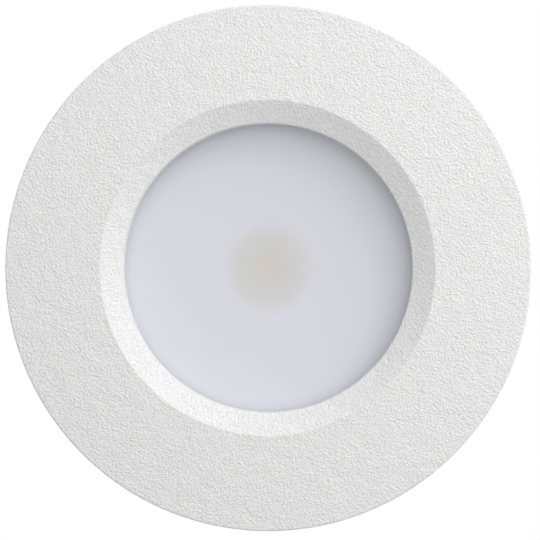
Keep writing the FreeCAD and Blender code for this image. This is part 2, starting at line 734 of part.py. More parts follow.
def driver_inductor():
    """A drum-core inductor: two flanges on a sleeved winding."""
    top = BOARD_TOP_Z + INDUCTOR_HEIGHT
    waist = INDUCTOR_RADIUS - INDUCTOR_NECK
    drum = turned(
        side_face(
            (0, BOARD_TOP_Z),
            (INDUCTOR_RADIUS, BOARD_TOP_Z),
            (INDUCTOR_RADIUS, BOARD_TOP_Z + INDUCTOR_FLANGE),
            (waist, BOARD_TOP_Z + INDUCTOR_FLANGE),
            (waist, top - INDUCTOR_FLANGE),
            (INDUCTOR_RADIUS, top - INDUCTOR_FLANGE),
            (INDUCTOR_RADIUS, top),
            (0, top),
        )
    )
    return moved(drum, INDUCTOR_X, INDUCTOR_Y, 0)


def driver_capacitors():
    """Two electrolytic cans on their square bases."""
    cans = []
    for x, y in (
        (CAPACITOR_X, CAPACITOR_Y),
        (CAPACITOR_X, CAPACITOR_Y - CAPACITOR_PITCH),
    ):
        low = (x - CAPACITOR_RADIUS, y - CAPACITOR_RADIUS, BOARD_TOP_Z)
        high = (x + CAPACITOR_RADIUS, y + CAPACITOR_RADIUS, BOARD_TOP_Z + CAPACITOR_BASE)
        can = disc(CAPACITOR_RADIUS, BOARD_TOP_Z, BOARD_TOP_Z + CAPACITOR_HEIGHT, x, y)
        cans.append(joined(block(low, high), can))
    return cans


def driver_chips():
    """A row of packaged chips: bridge, controller and switch."""
    chips = []
    for k in range(CHIP_COUNT):
        x = CHIP_ROW_X + (k - (CHIP_COUNT - 1) / 2) * CHIP_ROW_PITCH
        low = (x - CHIP_LENGTH / 2, CHIP_ROW_Y - CHIP_WIDTH / 2, BOARD_TOP_Z)
        high = (x + CHIP_LENGTH / 2, CHIP_ROW_Y + CHIP_WIDTH / 2, BOARD_TOP_Z + CHIP_HEIGHT)
        chips.append(block(low, high))
    return chips


def terminal_places():
    return [(-TERMINAL_PITCH / 2, BLOCK_Y), (TERMINAL_PITCH / 2, BLOCK_Y)]


def terminal_block():
    """The mains terminals, with a wire way and a screw well for each pole."""
    top = BOARD_TOP_Z + BLOCK_HEIGHT
    back = BLOCK_Y - BLOCK_DEPTH / 2
    body = block(
        (-BLOCK_LENGTH / 2, back, BOARD_TOP_Z),
        (BLOCK_LENGTH / 2, BLOCK_Y + BLOCK_DEPTH / 2, top),
    )
    front_top = [
        edge
        for edge in body.Edges
        if edge.BoundBox.ZMin > top - 1e-4 and edge.BoundBox.YMax < back + 1e-4
    ]
    body = body.makeChamfer(BLOCK_CHAMFER, front_top)
    cuts = []
    for x, y in terminal_places():
        half = BLOCK_WAY_SIDE / 2
        low = (x - half, back, BOARD_TOP_Z + BLOCK_WAY_RISE)
        high = (x + half, back + BLOCK_WAY_DEPTH, low[2] + BLOCK_WAY_SIDE)
        cuts.append(block(low, high))
        floor = top - TERMINAL_SCREW_SINK - TERMINAL_SCREW_HEIGHT
        cuts.append(disc(TERMINAL_SCREW_RADIUS + TERMINAL_WELL_PLAY, floor, top, x, y))
    return body.cut(cuts)


def terminal_screws():
    """Slotted screws at the bottom of the block's wells."""
    high = BOARD_TOP_Z + BLOCK_HEIGHT - TERMINAL_SCREW_SINK
    screws = []
    for x, y in terminal_places():
        screw = disc(TERMINAL_SCREW_RADIUS, high - TERMINAL_SCREW_HEIGHT, high, x, y)
        half = TERMINAL_SLOT_WIDTH / 2
        reach = TERMINAL_SCREW_RADIUS
        low = (x - reach, y - half, high - TERMINAL_SLOT_DEPTH)
        screws.append(screw.cut(block(low, (x + reach, y + half, high))))
    return screws


# Leads


def lead_low_z():
    """The height of the leads' level run into the LED holder."""
    return WEB_Z - GROMMET_LIP_THICK - LEAD_DROP


def tube(edges, radius):
    """A round tube along a path of tangent lines and arcs, as one unbroken solid."""
    path = Part.Wire(edges)
    first = edges[0]
    start = first.valueAt(first.FirstParameter)
    heading = first.tangentAt(first.FirstParameter)
    section = Part.Wire(Part.makeCircle(radius, start, heading))
    solid = path.makePipeShell([section], True, False)
    share = solid.Volume / (math.pi * radius**2 * path.Length)
    print(f"tube: length {path.Length:.2f} mm, volume over section x length {share:.5f}")
    return solid


def led_lead(x):
    """One lead: down from the board through the grommet, then round to the LED holder."""
    top = point(x, -LEAD_CIRCLE, BOARD_Z)
    bend = point(x, -LEAD_CIRCLE, WEB_Z - GROMMET_LIP_THICK)
    centre = bend + point(0, LEAD_DROP, 0)
    middle = centre + point(0, -LEAD_DROP * math.sqrt(0.5), -LEAD_DROP * math.sqrt(0.5))
    level = centre + point(0, 0, -LEAD_DROP)
    end = point(x, POKE_IN_HOLE_DEPTH - HOLDER_HALF_DEPTH, level.z)
    edges = [
        Part.LineSegment(top, bend).toShape(),
        Part.Arc(bend, middle, level).toShape(),
        Part.LineSegment(level, end).toShape(),
    ]
    return tube(edges, LEAD_RADIUS)


def lead_grommet():
    """The rubber plug in the web, with a hole for each lead."""
    low = WEB_Z - GROMMET_LIP_THICK
    high = WEB_TOP_Z + GROMMET_LIP_THICK
    y = -LEAD_CIRCLE
    grommet = joined(
        disc(GROMMET_HUB_RADIUS, low, high, 0, y),
        disc(GROMMET_LIP_RADIUS, low, WEB_Z, 0, y),
        disc(GROMMET_LIP_RADIUS, WEB_TOP_Z, high, 0, y),
    )
    bore = LEAD_RADIUS + LEAD_PLAY
    ways = [disc(bore, low, high, x, y) for x in (-LEAD_SPACING / 2, LEAD_SPACING / 2)]
    return grommet.cut(ways)


# Rear cover and gland


def chamfered_disc(radius, low, high):
    """An upright disc with its top edge chamfered."""
    plain = disc(radius, low, high)
    return plain.makeChamfer(COVER_CHAMFER, circles_at(plain, radius, high))


def rear_cover():
    """The lid of the driver chamber, with three ears and a raised seat for the gland."""
    cover = chamfered_disc(BODY_RADIUS + COVER_OVERHANG, RIM_Z, COVER_TOP_Z)
    ear = moved(chamfered_disc(LUG_RADIUS, RIM_Z, COVER_TOP_Z), COVER_SCREW_CIRCLE, 0, 0)
    cover = joined(cover, *around(ear, COVER_SCREW_ANGLES))
    cover = joined(cover, disc(COVER_BOSS_RADIUS, COVER_TOP_Z, GLAND_SEAT_Z))
    hole = disc(M3_SHANK_RADIUS + THROUGH_PLAY, RIM_Z, COVER_TOP_Z, COVER_SCREW_CIRCLE)
    gland_hole = disc(GLAND_THREAD_RADIUS + THROUGH_PLAY, RIM_Z, GLAND_SEAT_Z)
    return cover.cut([gland_hole, *around(hole, COVER_SCREW_ANGLES)])


def rear_cover_seal():
    return seal_ring(COVER_SEAL_RADIUS, RIM_Z)


def rear_cover_screws():
    screw = moved(m3_screw(COVER_THICK + COVER_SCREW_BITE), COVER_SCREW_CIRCLE, 0, COVER_TOP_Z)
    return around(screw, COVER_SCREW_ANGLES)


def crowned_envelope(flats, low, high):
    """The turned shape that takes the corners off a hexagon and gives it a domed crown."""
    corner = flats / math.sqrt(3)
    flat = flats / 2
    top = flat - GLAND_CROWN_INSET
    middle = (
        (corner + top) / 2 + GLAND_CROWN_BULGE,
        high - GLAND_CROWN_HEIGHT / 2 + GLAND_CROWN_BULGE,
    )
    return turned(
        side_face(
            (0, low),
            (flat, low),
            (corner, low + GLAND_HEX_CHAMFER),
            (corner, high - GLAND_CROWN_HEIGHT),
            (middle, (top, high)),
            (0, high),
        )
    )


def gland_body():
    """The gland's stem: thread through the cover, hexagon, and a collar under the nut."""
    low = LOCKNUT_Z - GLAND_TAIL
    body = disc(GLAND_THREAD_RADIUS, low, GLAND_COLLAR_TOP_Z)
    corner = GLAND_FLATS / math.sqrt(3)
    bevel = Part.makeCone(
        corner - GLAND_HEX_CHAMFER,
        corner - GLAND_HEX_CHAMFER + GLAND_HEX_HEIGHT,
        GLAND_HEX_HEIGHT,
        point(0, 0, GLAND_HEX_Z),
    )
    body = joined(body, hexagon(GLAND_FLATS, GLAND_HEX_Z, GLAND_COLLAR_Z).common(bevel))
    return body.cut(
        [
            disc(GLAND_LOWER_BORE, low, GLAND_SEAL_Z),
            disc(GLAND_SEAL_RADIUS + GLAND_SEAL_PLAY, GLAND_SEAL_Z, GLAND_COLLAR_TOP_Z),
        ]
    )


def gland_washer():
    inner = GLAND_THREAD_RADIUS + THROUGH_PLAY
    return ring(inner, inner + GLAND_WASHER_WIDTH, GLAND_SEAT_Z, GLAND_HEX_Z)


def gland_seal():
    return ring(CABLE_BORE_RADIUS, GLAND_SEAL_RADIUS, GLAND_SEAL_Z, GLAND_SEAL_TOP_Z)


def gland_nut():
    """The domed cap nut that squeezes the seal."""
    nut = hexagon(GLAND_FLATS, GLAND_NUT_Z, GLAND_TOP_Z)
    nut = nut.common(crowned_envelope(GLAND_FLATS, GLAND_NUT_Z, GLAND_TOP_Z))
    thread = GLAND_THREAD_RADIUS + THREAD_PLAY
    neck = GLAND_SEAL_RADIUS + GLAND_SEAL_PLAY
    return nut.cut(
        [
            disc(thread, GLAND_NUT_Z, GLAND_COLLAR_TOP_Z + GLAND_NUT_GAP),
            disc(neck, GLAND_COLLAR_TOP_Z, GLAND_SEAL_TOP_Z),
            disc(GLAND_OUTLET_RADIUS, GLAND_SEAL_TOP_Z, GLAND_TOP_Z),
        ]
    )


def gland_locknut():
    nut = hexagon(LOCKNUT_FLATS, LOCKNUT_Z, RIM_Z)
    return nut.cut(disc(GLAND_THREAD_RADIUS + THREAD_PLAY, LOCKNUT_Z, RIM_Z))


# Spring clips, built for the +X side


def clip_bracket():
    """The pressed bracket: a screwed plate, two ears for the pin and a stop for the arm."""
    plate = block(
        (BRACKET_X, -EAR_OUTER_Y, STOP_Z),
        (BRACKET_FACE_X, EAR_OUTER_Y, BRACKET_TOP_Z),
    )
    corners = [
        edge
        for edge in plate.Edges
        if edge.BoundBox.XLength > BRACKET_THICK / 2 and edge.BoundBox.YLength < 1e-4
    ]
    plate = plate.makeFillet(BRACKET_CORNER, corners)
    low = HINGE_Z - BRACKET_EAR_RADIUS
    high = HINGE_Z + BRACKET_EAR_RADIUS
    profile = side_face(
        (BRACKET_X, low),
        (HINGE_X, low),
        ((HINGE_X + BRACKET_EAR_RADIUS, HINGE_Z), (HINGE_X, high)),
        (BRACKET_X, high),
    )
    stop = block(
        (BRACKET_X, -STOP_HALF_WIDTH, STOP_Z), (STOP_X, STOP_HALF_WIDTH, STOP_TOP_Z)
    )
    bracket = joined(
        plate,
        across(profile, EAR_INNER_Y, EAR_OUTER_Y),
        across(profile, -EAR_OUTER_Y, -EAR_INNER_Y),
        stop,
    )
    holes = [hinge_hole(PIN_RADIUS + PIN_SEAT_PLAY)]
    for height in (LOWER_SCREW_Z, UPPER_SCREW_Z):
        start = point(BRACKET_X, 0, height)
        through = M25_SHANK_RADIUS + THROUGH_PLAY
        holes.append(Part.makeCylinder(through, BRACKET_THICK, start, point(1, 0, 0)))
    return bracket.cut(holes)


def hinge_hole(radius):
    start = point(HINGE_X, -EAR_OUTER_Y, HINGE_Z)
    return Part.makeCylinder(radius, 2 * EAR_OUTER_Y, start, point(0, 1, 0))


def bracket_screws():
    screw = m25_screw(BRACKET_THICK + BRACKET_SCREW_BITE)
    screw.rotate(ORIGIN, point(0, 1, 0), 90)
    return [moved(screw, BRACKET_FACE_X, 0, z) for z in (LOWER_SCREW_Z, UPPER_SCREW_Z)]


def clip_pin():
    """The riveted pin, with a head at each end."""
    heads = []
    for y in (-EAR_OUTER_Y - PIN_HEAD_THICK, EAR_OUTER_Y):
        start = point(HINGE_X, y, HINGE_Z)
        heads.append(Part.makeCylinder(PIN_HEAD_RADIUS, PIN_HEAD_THICK, start, point(0, 1, 0)))
    return joined(hinge_hole(PIN_RADIUS), *heads)


def at_rest(shape):
    """Takes a shape from the arm's own frame, where the pin is at the origin and the arm
    points along +X, to where it rests on the +X side."""
    copy = shape.copy()
    copy.rotate(ORIGIN, point(0, 1, 0), ARM_REST_ANGLE)
    copy.translate(point(HINGE_X, 0, HINGE_Z))
    return copy


def bend_point(radius, degrees):
    """A point of the foot's bend, at this radius and this far round from where it starts."""
    turn = math.radians(degrees)
    centre = FOOT_BEND_RADIUS - WEB_NEAR
    return ARM_LENGTH + radius * math.sin(turn), centre - radius * math.cos(turn)


def along_foot(start, length):
    """The point this far along the foot's direction from a start."""
    turn = math.radians(FOOT_BEND)
    return start[0] + length * math.cos(turn), start[1] + length * math.sin(turn)


def foot_strip(begin, end, outer, inner):
    """The side face of the foot between two distances past the bend, grown past its faces
    by outer on the lower side and by inner on the upper."""
    lower = bend_point(FOOT_BEND_RADIUS + ARM_SHEET + outer, FOOT_BEND)
    upper = bend_point(FOOT_BEND_RADIUS - inner, FOOT_BEND)
    return side_face(
        along_foot(lower, begin),
        along_foot(lower, end),
        along_foot(upper, end),
        along_foot(upper, begin),
    )


def clip_arm():
    """The pressed arm: two ears on the pin, a channel, and a foot bent up at its end."""
    outer_bend = FOOT_BEND_RADIUS + ARM_SHEET
    strip = side_face(
        (WEB_START, -WEB_FAR),
        (ARM_LENGTH, -WEB_FAR),
        (bend_point(outer_bend, FOOT_BEND / 2), bend_point(outer_bend, FOOT_BEND)),
        bend_point(FOOT_BEND_RADIUS, FOOT_BEND),
        (bend_point(FOOT_BEND_RADIUS, FOOT_BEND / 2), (ARM_LENGTH, -WEB_NEAR)),
        (WEB_START, -WEB_NEAR),
    )
    flange = side_face(
        (0, -ARM_EAR_RADIUS),
        (WEB_START, -WEB_FAR),
        (ARM_LENGTH - ARM_EAR_END, -WEB_FAR),
        (ARM_LENGTH - ARM_EAR_END, -WEB_NEAR),
        (ARM_LENGTH - ARM_EAR_LOW_END, ARM_EAR_LOW - WEB_NEAR),
        (0, ARM_EAR_RADIUS),
        ((-ARM_EAR_RADIUS, 0), (0, -ARM_EAR_RADIUS)),
    )
    foot = foot_strip(0, FOOT_LENGTH, 0, 0)
    arm = joined(
        across(strip, -FOOT_HALF_WIDTH, FOOT_HALF_WIDTH),
        across(foot, -FOOT_HALF_WIDTH, FOOT_HALF_WIDTH),
        block((WEB_START, -ARM_OUTER_Y, -WEB_FAR), (ARM_LENGTH - ARM_EAR_END, ARM_OUTER_Y, -WEB_NEAR)),
        across(flange, ARM_INNER_Y, ARM_OUTER_Y),
        across(flange, -ARM_OUTER_Y, -ARM_INNER_Y),
    )
    start = point(0, -ARM_OUTER_Y, 0)
    hole = Part.makeCylinder(
        PIN_RADIUS + PIN_RUNNING_PLAY, 2 * ARM_OUTER_Y, start, point(0, 1, 0)
    )
    return at_rest(arm.cut(hole))


def clip_pad():
    """The soft cap on the arm's foot."""
    grown = PAD_POCKET_PLAY + PAD_WALL
    outer = foot_strip(PAD_START, FOOT_LENGTH + grown, grown, grown)
    half = FOOT_HALF_WIDTH + grown
    pad = across(outer, -half, half)
    pad = pad.makeFillet(PAD_ROUND, pad.Edges)
    pocket = foot_strip(
        PAD_START - PAD_ROUND, FOOT_LENGTH + PAD_POCKET_PLAY, PAD_POCKET_PLAY, PAD_POCKET_PLAY
    )
    half = FOOT_HALF_WIDTH + PAD_POCKET_PLAY
    return at_rest(pad.cut(across(pocket, -half, half)))


def biarc(start, start_way, end, end_way):
    """Two arcs that leave start along one direction and reach end along another."""
    chord = end - start
    ways = start_way + end_way
    bow = 2.0 * (1.0 - start_way.dot(end_way))
    along = chord.dot(ways)
    reach = (math.sqrt(along**2 + bow * chord.dot(chord)) - along) / bow
    first = start + start_way * reach
    second = end - end_way * reach
    meet = (first + second) * 0.5
    return [arc_between(start, first, meet), arc_between(meet, second, end)]


def arc_between(start, corner, end):
    """The arc from start to end whose tangents cross at corner."""
    middle = (start + end) * 0.5
    rise = corner - middle
    half_chord = (end - start).Length / 2
    bow = half_chord * math.tan(math.atan2(rise.Length, half_chord) / 2)
    return Part.Arc(start, middle + rise * (bow / rise.Length), end).toShape()


def spring_path():
    """The wire's path: the fixed leg down to the coil, its turns, and the leg on the arm."""
    quarter = 90.0
    rise = SPRING_LENGTH / SPRING_TWIST  # along the pin for each degree
    flat_y = -SPRING_LENGTH / 2

    def coil_point(turned_by):
        turn = math.radians(180.0 + turned_by)
        x = HINGE_X + SPRING_MEAN_RADIUS * math.cos(turn)
        z = HINGE_Z + SPRING_MEAN_RADIUS * math.sin(turn)
        return point(x, flat_y + rise * turned_by, z)

    def coil_way(turned_by, level=False):
        turn = math.radians(180.0 + turned_by)
        climb = 0.0 if level else math.degrees(rise)
        way = point(
            -SPRING_MEAN_RADIUS * math.sin(turn), climb, SPRING_MEAN_RADIUS * math.cos(turn)
        )
        return way.normalize()

    steps = int(SPRING_TWIST // quarter)
    stops = [quarter * k for k in range(steps)] + [SPRING_TWIST]
    ways = [coil_way(stop, level=stop in (stops[0], stops[-1])) for stop in stops]
    start, end = coil_point(0.0), coil_point(SPRING_TWIST)
    edges = [Part.LineSegment(start - ways[0] * SPRING_FIXED_LEG, start).toShape()]
    for k in range(len(stops) - 1):
        here, there = coil_point(stops[k]), coil_point(stops[k + 1])
        edges += biarc(here, ways[k], there, ways[k + 1])
    edges.append(Part.LineSegment(end, end + ways[-1] * SPRING_MOVING_LEG).toShape())
    return edges


def least_gap(edges, wire_radius, pitch_length):
    """The least gap between stretches of the wire over half a turn apart, measured on
    points along its middle line."""
    spacing = wire_radius / 4
    path = Part.Wire(edges)
    points = path.discretize(int(path.Length / spacing) + 1)
    apart = int(pitch_length / 2 / spacing) + 1
    least = min(
        points[i].distanceToPoint(points[j])
        for i in range(len(points))
        for j in range(i + apart, len(points))
    )
    return least - 2 * wire_radius


def clip_spring():
    """The torsion spring, one unbroken wire."""
    edges = spring_path()
    turn_length = 2 * math.pi * SPRING_MEAN_RADIUS
    gap = least_gap(edges, SPRING_WIRE_RADIUS, turn_length)
    print(f"clip spring: least gap to itself {gap:.3f} mm")
    return tube(edges, SPRING_WIRE_RADIUS)


# Output


def save(name, shape):
    """Writes one node, a solid or a list of separate solids, as its own STEP file."""
    solids = shape if isinstance(shape, list) else [shape]
    flat = [solid for item in solids for solid in item.Solids]
    whole = flat[0] if len(flat) == 1 else Part.makeCompound(flat)
    if not whole.isValid():
        print(f"{name}: the shape isn't valid")
    whole.exportStep(f"parts/{name}.step")


def save_clips():
    """Writes each piece of the clip once for each side."""
    pieces = {
        "clip_bracket": clip_bracket(),
        "bracket_screws": bracket_screws(),
        "clip_pin": clip_pin(),
        "clip_arm": clip_arm(),
        "clip_spring": clip_spring(),
        "clip_pad": clip_pad(),
    }
    for side, angle in CLIP_ANGLES.items():
        for name, shape in pieces.items():
            solids = shape if isinstance(shape, list) else [shape]
            save(f"{side}_{name}", [spun(solid, angle) for solid in solids])


def main():
    os.makedirs("parts", exist_ok=True)
    save("trim_ring", trim_ring())
    save("ceiling_gasket", ceiling_gasket())
    save("lens_gasket", lens_gasket())
    save("diffuser_lens", diffuser_lens())
    save("reflector", reflector())
    save("led_holder", led_holder())
    save("holder_screws", holder_screws())
    save("cob_substrate", cob_substrate())
    save("cob_phosphor", cob_phosphor())
    save("thermal_pad", thermal_pad())
    save("heatsink_housing", heatsink_housing())
    save("housing_seal", housing_seal())
    save("housing_screws", housing_screws())
    save("driver_board", driver_board())
    save("driver_inductor", driver_inductor())
    save("driver_capacitors", driver_capacitors())
    save("driver_chips", driver_chips())
    save("board_screws", board_screws())
    save("terminal_block", terminal_block())
    save("terminal_screws", terminal_screws())
    save("led_lead_positive", led_lead(LEAD_SPACING / 2))
    save("led_lead_negative", led_lead(-LEAD_SPACING / 2))
    save("lead_grommet", lead_grommet())
    save("rear_cover", rear_cover())
    save("rear_cover_seal", rear_cover_seal())
    save("rear_cover_screws", rear_cover_screws())
    save("gland_body", gland_body())
    save("gland_washer", gland_washer())
    save("gland_seal", gland_seal())
    save("gland_nut", gland_nut())
    save("gland_locknut", gland_locknut())
    save_clips()


main()
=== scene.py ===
"""Soffit downlight: the visual model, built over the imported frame, in metres."""

import logging
import math
from dataclasses import dataclass
from enum import Enum

import bmesh
import bpy
import numpy as np
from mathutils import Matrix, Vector


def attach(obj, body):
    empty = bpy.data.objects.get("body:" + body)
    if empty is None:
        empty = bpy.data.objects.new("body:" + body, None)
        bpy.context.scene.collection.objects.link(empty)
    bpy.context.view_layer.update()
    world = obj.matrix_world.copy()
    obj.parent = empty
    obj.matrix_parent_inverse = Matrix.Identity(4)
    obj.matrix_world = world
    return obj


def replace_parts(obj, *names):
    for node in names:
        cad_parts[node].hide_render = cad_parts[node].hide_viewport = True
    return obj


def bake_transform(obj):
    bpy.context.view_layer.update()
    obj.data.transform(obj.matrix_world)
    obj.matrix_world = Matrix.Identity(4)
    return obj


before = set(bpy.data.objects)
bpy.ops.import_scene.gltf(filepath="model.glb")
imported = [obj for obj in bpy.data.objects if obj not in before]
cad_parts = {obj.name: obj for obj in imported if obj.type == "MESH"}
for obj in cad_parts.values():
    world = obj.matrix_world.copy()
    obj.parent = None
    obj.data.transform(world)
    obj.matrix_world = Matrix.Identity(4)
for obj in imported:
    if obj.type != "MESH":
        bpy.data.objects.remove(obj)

LOG = logging.getLogger("downlight")
MM = 0.001
FULL_TURN = 2 * math.pi
FIXED = "fixture_body"
CORNER_SHARE = 0.46
HOLD_SHARE = 0.3
NOISE_LOW, NOISE_HIGH = 0.3, 0.7

Colour = tuple[float, float, float]
Socket = bpy.types.NodeSocket
Value = float | tuple[float, ...] | Socket


def corner(value: Vector) -> list[float]:
    """Gives a corner of a box as a plain list."""
    return [float(c) for c in value]


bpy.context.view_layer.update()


# Surfaces


@dataclass(frozen=True)
class Sheet:
    """A grid of points, rows by columns, whose ends may be joined either way.

    With caps, its first and last rows are closed by a flat face each.
    """

    points: np.ndarray
    wrap_rows: bool = False
    wrap_columns: bool = True
    caps: bool = False

    def quads(self) -> np.ndarray:
        """Works out the corner numbers of every cell of the grid.

        The cell at row i and column j has the corners (i, j), (i + 1, j), (i + 1, j + 1)
        and (i, j + 1), counted round the ends where the grid is joined.

        Returns:
            An array of four corner numbers a cell.
        """
        rows, columns = self.points.shape[:2]
        i = np.arange(rows if self.wrap_rows else rows - 1)[:, None]
        j = np.arange(columns if self.wrap_columns else columns - 1)[None, :]
        below, beside = (i + 1) % rows, (j + 1) % columns
        corners = [i * columns + j, below * columns + j]
        corners += [below * columns + beside, i * columns + beside]
        return np.stack(np.broadcast_arrays(*corners), axis=-1).reshape(-1, 4)

    def ends(self) -> list[np.ndarray]:
        """Gives the corner numbers of the faces that close the first and last rows."""
        rows, columns = self.points.shape[:2]
        first = np.arange(columns)
        return [first, first + (rows - 1) * columns] if self.caps else []


def build(name: str, sheets: list[Sheet], sharp: float = 50.0) -> bpy.types.Object:
    """Puts sheets into one mesh, closes its poles and turns its faces outwards.

    Args:
        name: The piece's name.
        sheets: The closed skins of the piece, in metres.
        sharp: The angle in degrees past which an edge is shaded sharp.

    Returns:
        The new object.
    """
    points = np.concatenate([s.points.reshape(-1, 3) for s in sheets])
    starts = np.cumsum([0] + [s.points.shape[0] * s.points.shape[1] for s in sheets[:-1]])
    quads = np.concatenate([s.quads() + start for s, start in zip(sheets, starts)])
    caps = [rim + start for s, start in zip(sheets, starts) for rim in s.ends()]
    corners = np.concatenate([quads.ravel(), *caps]).astype(np.int32)
    lengths = np.array([4] * len(quads) + [len(rim) for rim in caps])
    mesh = bpy.data.meshes.new(name)
    mesh.vertices.add(len(points))
    mesh.vertices.foreach_set("co", points.astype(np.float32).ravel())
    mesh.loops.add(len(corners))
    mesh.loops.foreach_set("vertex_index", corners)
    mesh.polygons.add(len(lengths))
    firsts = np.cumsum(lengths) - lengths
    mesh.polygons.foreach_set("loop_start", firsts.astype(np.int32))
    mesh.update(calc_edges=True)
    heal(mesh)
    return finish_mesh(name, mesh, sharp)


def heal(mesh: bpy.types.Mesh, nearness: float = 2e-7) -> None:
    """Merges points that coincide, drops empty faces and points the faces outwards."""
    work = bmesh.new()
    work.from_mesh(mesh)
    bmesh.ops.remove_doubles(work, verts=work.verts, dist=nearness)
    bmesh.ops.dissolve_degenerate(work, edges=work.edges, dist=nearness / 2)
    bmesh.ops.recalc_face_normals(work, faces=work.faces)
    work.to_mesh(mesh)
    work.free()


def finish_mesh(name: str, mesh: bpy.types.Mesh, sharp: float) -> bpy.types.Object:
    """Shades a mesh smooth up to an angle and gives it an object in the scene."""
    mesh.validate()
    mesh.polygons.foreach_set("use_smooth", np.ones(len(mesh.polygons), bool))
    mesh.set_sharp_from_angle(angle=math.radians(sharp))
    piece = bpy.data.objects.new(name, mesh)
    bpy.context.scene.collection.objects.link(piece)
    return piece


def rounded(outline: list[tuple[float, ...]], default: float = 0.1, arc: int = 5) -> np.ndarray:
    """Rounds the corners of a closed outline.

    A corner P with half angle h and radius r is cut back by t = r / tan(h), and its arc
    turns about C = P + (a + b) / |a + b| * r / sin(h), where a and b point along its two
    sides. A point just past each end of the arc holds the flats flat.

    Args:
        outline: The corners in order, each two lengths and, where it differs, a radius.
            A radius of 0 leaves its corner as it is.
        default: The radius of a corner that names none.
        arc: The number of points on each arc.

    Returns:
        The rounded outline, one point a row.
    """
    p = np.array([c[:2] for c in outline], float)
    radius = np.array([c[2] if len(c) > 2 else default for c in outline], float)
    plain = radius == 0
    a, b = np.roll(p, 1, 0) - p, np.roll(p, -1, 0) - p
    length_a, length_b = np.linalg.norm(a, axis=1), np.linalg.norm(b, axis=1)
    a, b = a / length_a[:, None], b / length_b[:, None]
    half = np.arccos(np.clip((a * b).sum(1), -0.999999, 0.999999)) / 2
    shorter = np.minimum(length_a, length_b)
    room = CORNER_SHARE * shorter
    cut = np.minimum(np.maximum(radius, 1e-4) / np.tan(half), room)
    radius = cut * np.tan(half)
    ways = a + b
    reach = (radius / np.sin(half) / np.linalg.norm(ways, axis=1))[:, None]
    centre = p + ways * reach
    first, last = p + a * cut[:, None] - centre, p + b * cut[:, None] - centre
    turn = (math.pi - 2 * half)[:, None, None]
    s = np.linspace(0, 1, arc)[None, :, None]
    swept = np.sin((1 - s) * turn) * first[:, None] + np.sin(s * turn) * last[:, None]
    points = centre[:, None] + swept / np.sin(turn)
    hold = np.minimum(HOLD_SHARE * radius, (shorter / 2 - cut) / 2).clip(1e-4)[:, None]
    before, after = p + a * (cut[:, None] + hold), p + b * (cut[:, None] + hold)
    every = np.concatenate([before[:, None], points, after[:, None]], axis=1)
    every[plain] = p[plain][:, None]
    kept = np.ones(every.shape[:2], bool)
    kept[plain, 1:] = False
    return every[kept]


def lathe(profile: np.ndarray, steps: int) -> np.ndarray:
    """Turns points (r, z) round the upright axis, to (r cos t, r sin t, z) at the angle t."""
    t = np.linspace(0, FULL_TURN, steps, endpoint=False)[:, None]
    r, z = profile[None, :, 0], profile[None, :, 1]
    return np.stack([r * np.cos(t), r * np.sin(t), z + 0 * t], axis=-1)


def revolve(profile: np.ndarray, steps: int, x: float = 0.0, y: float = 0.0,
            closed: bool = True) -> Sheet:
    """Turns a profile round an upright axis.

    Args:
        profile: Radius and height of each point, in millimetres.
        steps: The number of steps round the axis.
        x: Where the axis stands, in millimetres.
        y: Where the axis stands, in millimetres.
        closed: Whether the profile's ends join. Otherwise both lie on the axis.

    Returns:
        The skin, in metres.
    """
    grid = lathe(profile, steps) + np.array([x, y, 0])
    return Sheet(grid * MM, wrap_rows=True, wrap_columns=closed)


def post(radius: float, low: float, high: float, edge: float, x: float, y: float,
         steps: int = 40) -> Sheet:
    """Makes a round post with rounded edges, closed on its axis at both ends."""
    profile = rounded([(0, low, 0), (radius, low, edge), (radius, high, edge), (0, high, 0)])
    return revolve(profile, steps, x, y, closed=False)


def inset(outline: np.ndarray, depth: np.ndarray) -> np.ndarray:
    """Moves a closed outline inwards by each of several depths.

    A point with the unit tangent (u, v) moves by its depth along (-v, u), which points
    inwards on an outline that runs anticlockwise.

    Args:
        outline: The points, one a row, anticlockwise.
        depth: The depths, in the outline's unit.

    Returns:
        One outline a depth.
    """
    ahead = np.roll(outline, -1, 0) - np.roll(outline, 1, 0)
    ahead /= np.linalg.norm(ahead, axis=1)[:, None]
    inward = np.stack([-ahead[:, 1], ahead[:, 0]], axis=1)
    return outline[None] + inward[None] * depth[:, None, None]


def slab(outline: np.ndarray, low: float, high: float, edge: float) -> np.ndarray:
    """Gives a flat outline thickness, with rounded edges.

    Ring k of an edge lies edge * (1 - sin a) inside the outline and edge * (1 - cos a)
    from the face, with a from 0 to 90 degrees.

    Args:
        outline: The points of the outline.
        low: Where the lower face lies.
        high: Where the upper face lies.
        edge: The radius of the edges.

    Returns:
        A grid of points (across, up, along), ring by ring, whose ends take caps.
    """
    area = np.cross(outline, np.roll(outline, -1, 0)).sum()
    outline = outline if area > 0 else outline[::-1]
    a = np.linspace(0, math.pi / 2, 4)
    depth = edge * (1 - np.sin(a))
    land = [1.6 * edge]
    depth = np.concatenate([land, depth, depth[::-1], land])
    rise = edge * (1 - np.cos(a))
    level = np.concatenate([[low], low + rise, high - rise[::-1], [high]])
    rings = inset(outline, depth)
    tall = np.broadcast_to(level[:, None, None], rings.shape[:2] + (1,))
    return np.concatenate([rings, tall], axis=-1)


